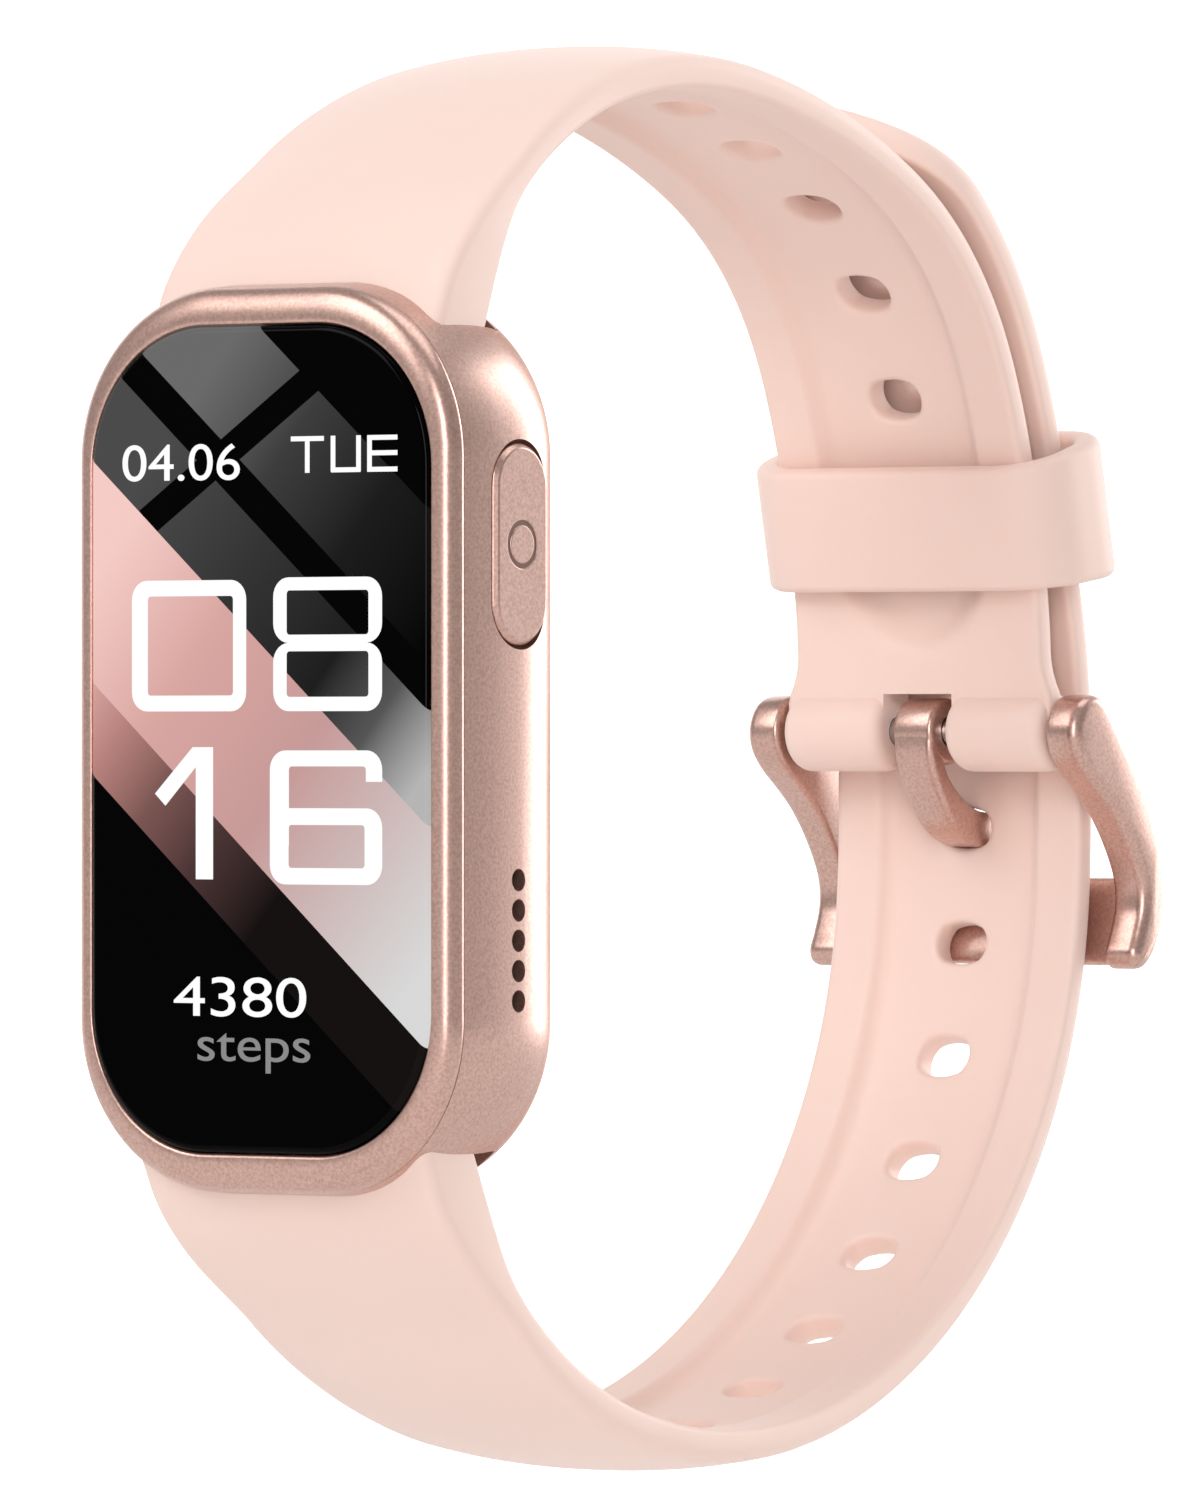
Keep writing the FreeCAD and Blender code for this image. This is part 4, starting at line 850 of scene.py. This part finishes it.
ONE = (
    [(-4.06, -0.36), (-6.44, -2.65), (-5.78, -3.24), (-3.86, -1.33)]
    + [(-3.86, -6.86), (-2.78, -6.86), (-2.78, -0.36)]
)
SIX_TOP = (  # the open upper half of the six, from its hook round to its stem's foot
    [(6.76, -2.05), (7.76, -2.05)]
    + bend_of(6.81, -1.47, 0.95, 0, 90)
    + bend_of(1.74, -1.47, 0.95, 90, 180)
    + [(0.79, -5.2), (1.97, -5.2)]
    + bend_of(2.15, -1.48, 0.18, 180, 90)
    + bend_of(6.58, -1.48, 0.18, 90, 0)
)
strokes = [
    box_stroke((-7.9, -0.7, 1.4, 7.85), (-6.9, -1.52, 2.18, 7.07)),
    box_stroke((1.0, 7.75, 4.74, 7.95), (1.83, 6.92, 5.14, 7.31)),
    box_stroke((1.0, 7.75, 1.4, 4.74), (1.83, 6.92, 2.1, 4.33)),
    bar_stroke((1.9, 4.74), (6.85, 4.74), 0.3),
    film(ONE),
    box_stroke((0.79, 7.76, -7.08, -3.345), (1.95, 6.68, -6.27, -4.165)),
    film(SIX_TOP),
]
strokes += [
    bar_stroke((2.1, 14.72), (4.15, 14.72), 0.24),
    bar_stroke((3.12, 14.7), (3.12, 13.05), 0.28),
    bar_stroke((4.72, 14.84), (4.72, 13.1), 0.28),
    bar_stroke((6.3, 14.84), (6.3, 13.1), 0.28),
    bar_stroke((4.6, 13.17), (6.42, 13.17), 0.24),
    bar_stroke((6.98, 14.84), (6.98, 13.05), 0.28),
    bar_stroke((6.98, 14.72), (8.7, 14.72), 0.24),
    bar_stroke((6.98, 13.97), (8.7, 13.97), 0.24),
    bar_stroke((6.98, 13.17), (8.7, 13.17), 0.24),
]
points, faces = [], []
base = 0
for spots, quads in strokes:
    points.append(spots)
    faces += [[index + base for index in quad] for quad in quads]
    base += len(spots)
figures = surface("lit_time_figures", np.concatenate(points), faces, white_light, 35.0)
lit_pieces = [figures]


def lettering(name, words, left, right, low, high, material):
    """Plain type fitted to a box on the face, as a hair-thin film."""
    curve = bpy.data.curves.new(name, "FONT")
    curve.body = words
    curve.extrude = 0.01
    probe = bpy.data.objects.new(name, curve)
    bpy.context.scene.collection.objects.link(probe)
    bpy.context.view_layer.update()
    mesh = bpy.data.meshes.new_from_object(probe.evaluated_get(bpy.context.evaluated_depsgraph_get()))
    bpy.data.objects.remove(probe)
    flat = np.empty(3 * len(mesh.vertices))
    mesh.vertices.foreach_get("co", flat)
    at = flat.reshape(-1, 3)
    lowest, highest = at.min(0), at.max(0)
    part = (at - lowest) / (highest - lowest)
    placed = np.stack(
        [
            left + part[:, 0] * (right - left),
            FRONT + FILM_BACK + part[:, 2] * (FILM_FRONT - FILM_BACK),
            low + part[:, 1] * (high - low),
        ],
        -1,
    )
    mesh.vertices.foreach_set("co", (placed * MM).ravel())
    mesh.materials.clear()
    mesh.materials.append(material)
    piece = bpy.data.objects.new(name, mesh)
    bpy.context.scene.collection.objects.link(piece)
    return piece


lit_pieces.append(lettering("lit_date", "04.06", -8.5, -1.1, 12.75, 14.55, white_light))
lit_pieces.append(lettering("lit_step_count", "4380", -5.25, 3.05, -13.6, -11.65, white_light))
lit_pieces.append(lettering("lit_step_word", "steps", -3.75, 3.3, -16.35, -14.4, grey_light))
for piece in lit_pieces:
    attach(piece, "root")


# ---- Button: a small slot-shaped cap ----
# An aluminium pressing, tumbled so that every edge is soft, then anodised like the case.


def tumbled(node, name, width, material, body):
    """A copy of a makers' piece, its flat facets joined and its edges rounded by a bevel."""
    work = bmesh.new()
    work.from_mesh(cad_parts[node].data)
    bmesh.ops.remove_doubles(work, verts=work.verts, dist=1e-6)
    bmesh.ops.dissolve_limit(work, angle_limit=math.radians(0.6), verts=work.verts, edges=work.edges)
    mesh = bpy.data.meshes.new(name)
    work.to_mesh(mesh)
    work.free()
    mesh.attributes.remove(mesh.attributes["custom_normal"])
    mesh.polygons.foreach_set("use_smooth", np.ones(len(mesh.polygons), bool))
    mesh.materials.clear()
    mesh.materials.append(material)
    piece = bpy.data.objects.new(name, mesh)
    bpy.context.scene.collection.objects.link(piece)
    bevel = piece.modifiers.new("softened_edges", "BEVEL")
    bevel.width = width * MM
    bevel.segments = 3
    bevel.limit_method = "ANGLE"
    bevel.angle_limit = math.radians(38)
    bevel.harden_normals = True
    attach(piece, body)
    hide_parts(node)


tumbled("button_cap", "button_face", 0.12, rose_metal, "button")


# ---- Button ring: a groove cut in the button, its shade painted in as a dark ring ----
# The painted shade is a flat dark ring that stops a hair below the button's face, inside the groove.

BUTTON_Y, BUTTON_Z = FRONT + 5.6, 9.54
BUTTON_TOP = 12.1
RING_INNER, RING_OUTER = 0.95, 1.175
SHADE_LOW, SHADE_HIGH = BUTTON_TOP - 0.15, BUTTON_TOP - 0.05
RING_STEPS = 64

# painted shade: a dark brown ring in the groove stands in for the shadow inside it
groove_shade, _, _ = finish_of("painted_groove_shade", "#6A463B", Roughness=0.45)
turn = np.linspace(0, 2 * math.pi, RING_STEPS, endpoint=False)
spots = []
section = ((RING_INNER, SHADE_LOW), (RING_INNER, SHADE_HIGH), (RING_OUTER, SHADE_HIGH), (RING_OUTER, SHADE_LOW))
for radius, x in section:
    y, z = BUTTON_Y + radius * np.cos(turn), BUTTON_Z + radius * np.sin(turn)
    spots.append(np.stack([np.full(RING_STEPS, x), y, z], -1))
quads = grid_faces(RING_STEPS, len(section), True, True)
ring = surface("button_ring_painted_shade", np.stack(spots, 1).reshape(-1, 3), quads, groove_shade)
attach(ring, "button")


# ---- Buckle hoop: two drop-shaped arms joined by a crossbar outside the strap ----
# Cast and tumbled aluminium. Each arm is a plate that widens from its knuckle on the bar to
# the crossbar, and every edge is rolled over.


def closed_curve(points, count):
    """Catmull-Rom spans through points, joined round and taken again at even distances."""
    points = np.array(points, float)
    before, after, later = np.roll(points, 1, 0), np.roll(points, -1, 0), np.roll(points, -2, 0)
    t = np.linspace(0, 1, 24, endpoint=False)[None, :, None]
    p0, p1, p2, p3 = (p[:, None] for p in (before, points, after, later))
    squared = (2 * p0 - 5 * p1 + 4 * p2 - p3) * t**2
    cubed = (3 * p1 - p0 - 3 * p2 + p3) * t**3
    line = (0.5 * (2 * p1 + (p2 - p0) * t + squared + cubed)).reshape(-1, 2)
    closed = np.concatenate([line, line[:1]])
    reach = np.concatenate([[0], np.cumsum(np.hypot(*np.diff(closed, axis=0).T))])
    even = np.linspace(0, reach[-1], count, endpoint=False)
    return np.stack([np.interp(even, reach, closed[:, k]) for k in (0, 1)], -1)


def rolled_plate(outline, start, end, left_round, right_round, steps=7):
    """A plate across X with an outline of depths and levels, its rims rolled as quarter circles.

    Each ring of points is the outline moved in along its own normals.
    """
    run = np.roll(outline, -1, 0) - np.roll(outline, 1, 0)
    inward = np.stack([-run[:, 1], run[:, 0]], -1) / np.hypot(*run.T)[:, None]
    area = np.sum(outline[:, 0] * np.roll(outline[:, 1], -1) - np.roll(outline[:, 0], -1) * outline[:, 1])
    inward *= np.sign(area)
    turn = np.linspace(0, math.pi / 2, steps)
    left, right = 1 - np.cos(turn), 1 - np.cos(turn[::-1])
    x = np.concatenate([start + left_round * left, end - right_round * right])
    inset = np.concatenate([left_round * (1 - np.sin(turn)), right_round * (1 - np.sin(turn[::-1]))])
    rings = outline[None] + inward[None] * inset[:, None, None]
    points = np.concatenate([np.broadcast_to(x[:, None, None], rings[..., :1].shape), rings], -1)
    points[..., 1] += FRONT
    count = len(outline)
    faces = grid_faces(len(x), count, wrap_columns=True)
    faces += [list(range(count)), list(range((len(x) - 1) * count, len(x) * count))]
    return points.reshape(-1, 3), faces


ARM_OUTLINE = (
    [(56.7, 2.37), (55.5, 1.95), (54.82, 0.75), (55.0, -0.5), (55.9, -1.6), (57.2, -2.6), (58.6, -3.8)]
    + [(59.9, -5.4), (60.9, -7.2), (61.05, -8.7), (60.6, -10.1), (60.2, -11.1), (60.55, -11.85)]
    + [(61.35, -11.85), (62.2, -11.05), (62.85, -9.8), (63.25, -8.3), (63.15, -6.7), (62.3, -4.3)]
    + [(61.0, -2.1), (59.5, -0.2), (58.3, 1.35), (57.6, 2.1)]
)
BAR_OUTLINE = (
    [(61.55, -7.35), (62.3, -7.2), (63.1, -7.5), (63.25, -8.3), (62.75, -9.9), (61.95, -11.15)]
    + [(61.2, -11.75), (60.8, -11.5), (61.0, -10.4), (61.3, -9.2), (61.4, -8.2)]
)
ARM_IN, ARM_OUT = 8.62, 10.68
ARM_STEPS, BAR_STEPS = 220, 90
INNER_RIM, OUTER_RIM = 0.3, 0.62
BAR_INTO = 0.8  # how far the crossbar runs into each arm

arm, bar = closed_curve(ARM_OUTLINE, ARM_STEPS), closed_curve(BAR_OUTLINE, BAR_STEPS)
HOOP = (  # name, outline, its two ends across, rounding of its two rims
    ("buckle_arm_right", arm, ARM_IN, ARM_OUT, INNER_RIM, OUTER_RIM),
    ("buckle_arm_left", arm, -ARM_OUT, -ARM_IN, OUTER_RIM, INNER_RIM),
    ("buckle_crossbar", bar, -ARM_IN - BAR_INTO, ARM_IN + BAR_INTO, INNER_RIM, INNER_RIM),
)
for name, *shape in HOOP:
    points, faces = rolled_plate(*shape)
    piece = surface(name, points, faces, rose_metal, 60.0)
    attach(piece, "buckle_frame")
    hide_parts("buckle_frame")


# ---- Buckle tang: a tongue rolled round the bar ----
# Its eye turns on the spring bar between the two tubes, and its tongue runs down through one
# of the strap's holes.

TANG_HALF = 1.25
TANG_LINE = np.array(
    [(55.6, 0.6), (55.65, -0.7), (56.2, -2.0), (57.2, -3.2)]
    + [(58.3, -4.1), (59.6, -4.6), (61.0, -4.75), (62.2, -4.8)]
)
TONGUE_STEPS = 80
TIP_FROM = 0.93  # part of the way along at which the tip starts to close in
OBLONG_HALF = 0.55


def tongue_points():
    """A rounded oblong carried along the tongue's line; its width and thickness close in at the tip.

    The line is run there and back a hair apart, so that one closed curve smooths it.
    """
    spans = closed_curve(np.concatenate([TANG_LINE, TANG_LINE[::-1] + (0.0, 1e-3)]), 2 * TONGUE_STEPS)
    line = spans[:TONGUE_STEPS]
    run = np.gradient(line, axis=0)
    run /= np.hypot(*run.T)[:, None]
    normal = np.stack([-run[:, 1], run[:, 0]], -1)
    part = np.linspace(0, 1, len(line))
    close = np.sqrt(np.clip(1 - np.clip((part - TIP_FROM) / (1 - TIP_FROM), 0, 0.98) ** 2, 0, 1))
    half_wide = (TANG_HALF - 0.12 * part) * close
    half_thick = (0.62 + 0.32 * smoothstep(part, 0.25, 0.6)) * close
    oblong = rounded_outline(1.0, OBLONG_HALF, 0.32, 6)
    x = oblong[None, :, 0] * half_wide[:, None]
    off = oblong[None, :, 1] / OBLONG_HALF * half_thick[:, None]
    place = line[:, None] + normal[:, None] * off[..., None]
    points = np.stack([x, FRONT + place[..., 0], place[..., 1]], -1)
    count = oblong.shape[0]
    faces = grid_faces(len(line), count, wrap_columns=True)
    faces += [list(range(count)), list(range((len(line) - 1) * count, len(line) * count))]
    return points.reshape(-1, 3), faces


tongue = surface("buckle_tongue", *tongue_points(), rose_metal, 60.0)
eye = surface("buckle_eye", *lathe(softened(-TANG_HALF, TANG_HALF, 1.75, 0.82, 0.3)), rose_metal, 60.0)
for piece in (tongue, eye):
    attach(piece, "buckle_tang")
    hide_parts("buckle_tang")


# ---- Inside and back: chassis, boards, battery, spring bars, seals, back cover and lens ----
# Steel, foil, solder mask, moulded plastic and rubber, each with the grain that its making
# leaves: a drawn or brushed grain on metal, a fine spark texture on plastic.

BARS, BAR_PIECES = ("upper", "lower", "buckle"), ("tube", "left_tip", "right_tip", "spring")
BAR_PARTS = tuple(f"{bar}_bar_{part}" for bar in BARS for part in BAR_PIECES)
CHASSIS_PARTS = (
    ("inner_chassis", "board_screws", "shield_can", "vibration_motor")
    + ("speaker_mesh", "button_stem", "button_clip")
)
INSIDE = (  # finish, colour, second colour, grain (mm), stretch along X, settings, pieces
    (
        "brushed_stainless_steel", "#B9B9BA", "#9E9EA0", 0.15, 0.08, {"Metallic": 1.0, "Roughness": 0.3},
        CHASSIS_PARTS,
    ),
    (
        "drawn_spring_steel", "#C4C4C6", "#A9A9AC", 0.12, 0.1, {"Metallic": 1.0, "Roughness": 0.22},
        BAR_PARTS,
    ),
    (
        "solder_masked_board", "#14503A", "#0F3D2D", 0.6, 1.0, {"Roughness": 0.4},
        ("main_board", "sensor_board"),
    ),
    (
        "black_silicone_rubber", "#1A1A1B", "#242425", 0.2, 1.0, {"Roughness": 0.7},
        ("back_gasket", "button_seal"),
    ),
    (
        "spark_textured_black_polycarbonate", "#1B1A1B", "#242223", 0.18, 1.0, {"Roughness": 0.48},
        ("back_cover", "speaker_unit", "tact_switch"),
    ),
    (
        "polyimide_flex_film", "#A8641E", "#8E5217", 0.5, 1.0, {"Roughness": 0.35},
        ("display_flex", "antenna_strip"),
    ),
    (
        "aluminium_laminate_foil", "#C9CACC", "#B4B6B9", 0.8, 1.0, {"Metallic": 0.9, "Roughness": 0.35},
        ("battery_cell",),
    ),
    ("clear_epoxy_resin", "#E8E4D2", "#DAD4BC", 0.4, 1.0, {"Roughness": 0.15}, ("sensor_leds",)),
    (
        "gold_plated_brass", "#E2B95A", "#CFA548", 0.15, 0.1, {"Metallic": 1.0, "Roughness": 0.25},
        ("charging_contacts",),
    ),
    (
        "smoked_sensor_glass", "#0A0B0E", "#101116", 1.2, 1.0, {"Roughness": 0.06, "Coat Weight": 0.4},
        ("sensor_lens",),
    ),
    ("unlit_panel_glass", "#060607", "#0A0A0C", 1.0, 1.0, {"Roughness": 0.2}, ("display_panel",)),
)
for name, colour, second, grain, stretch, settings, nodes in INSIDE:
    material, tree, shader = finish_of(name, colour, **settings)
    place = add(tree, "ShaderNodeTexCoord")
    drawn = add(tree, "ShaderNodeMapping", [("Vector", place.outputs["Object"])])
    drawn.inputs["Scale"].default_value = (stretch, 1.0, 1.0)
    source = [("Vector", drawn.outputs["Vector"])]
    noise = add(tree, "ShaderNodeTexNoise", source, Scale=1 / (grain * MM), Detail=2.0)
    tint = add(tree, "ShaderNodeMix", [("Factor", noise.outputs["Fac"])], data_type="RGBA")
    tint.inputs["A"].default_value = linear(colour)
    tint.inputs["B"].default_value = linear(second)
    tree.links.new(tint.outputs["Result"], shader.inputs["Base Color"])
    bump = add(tree, "ShaderNodeBump", [("Height", noise.outputs["Fac"])], Strength=0.15, Distance=0.02 * MM)
    tree.links.new(bump.outputs["Normal"], shader.inputs["Normal"])
    for node in nodes:
        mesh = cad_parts[node].data
        mesh.materials.clear()
        mesh.materials.append(material)
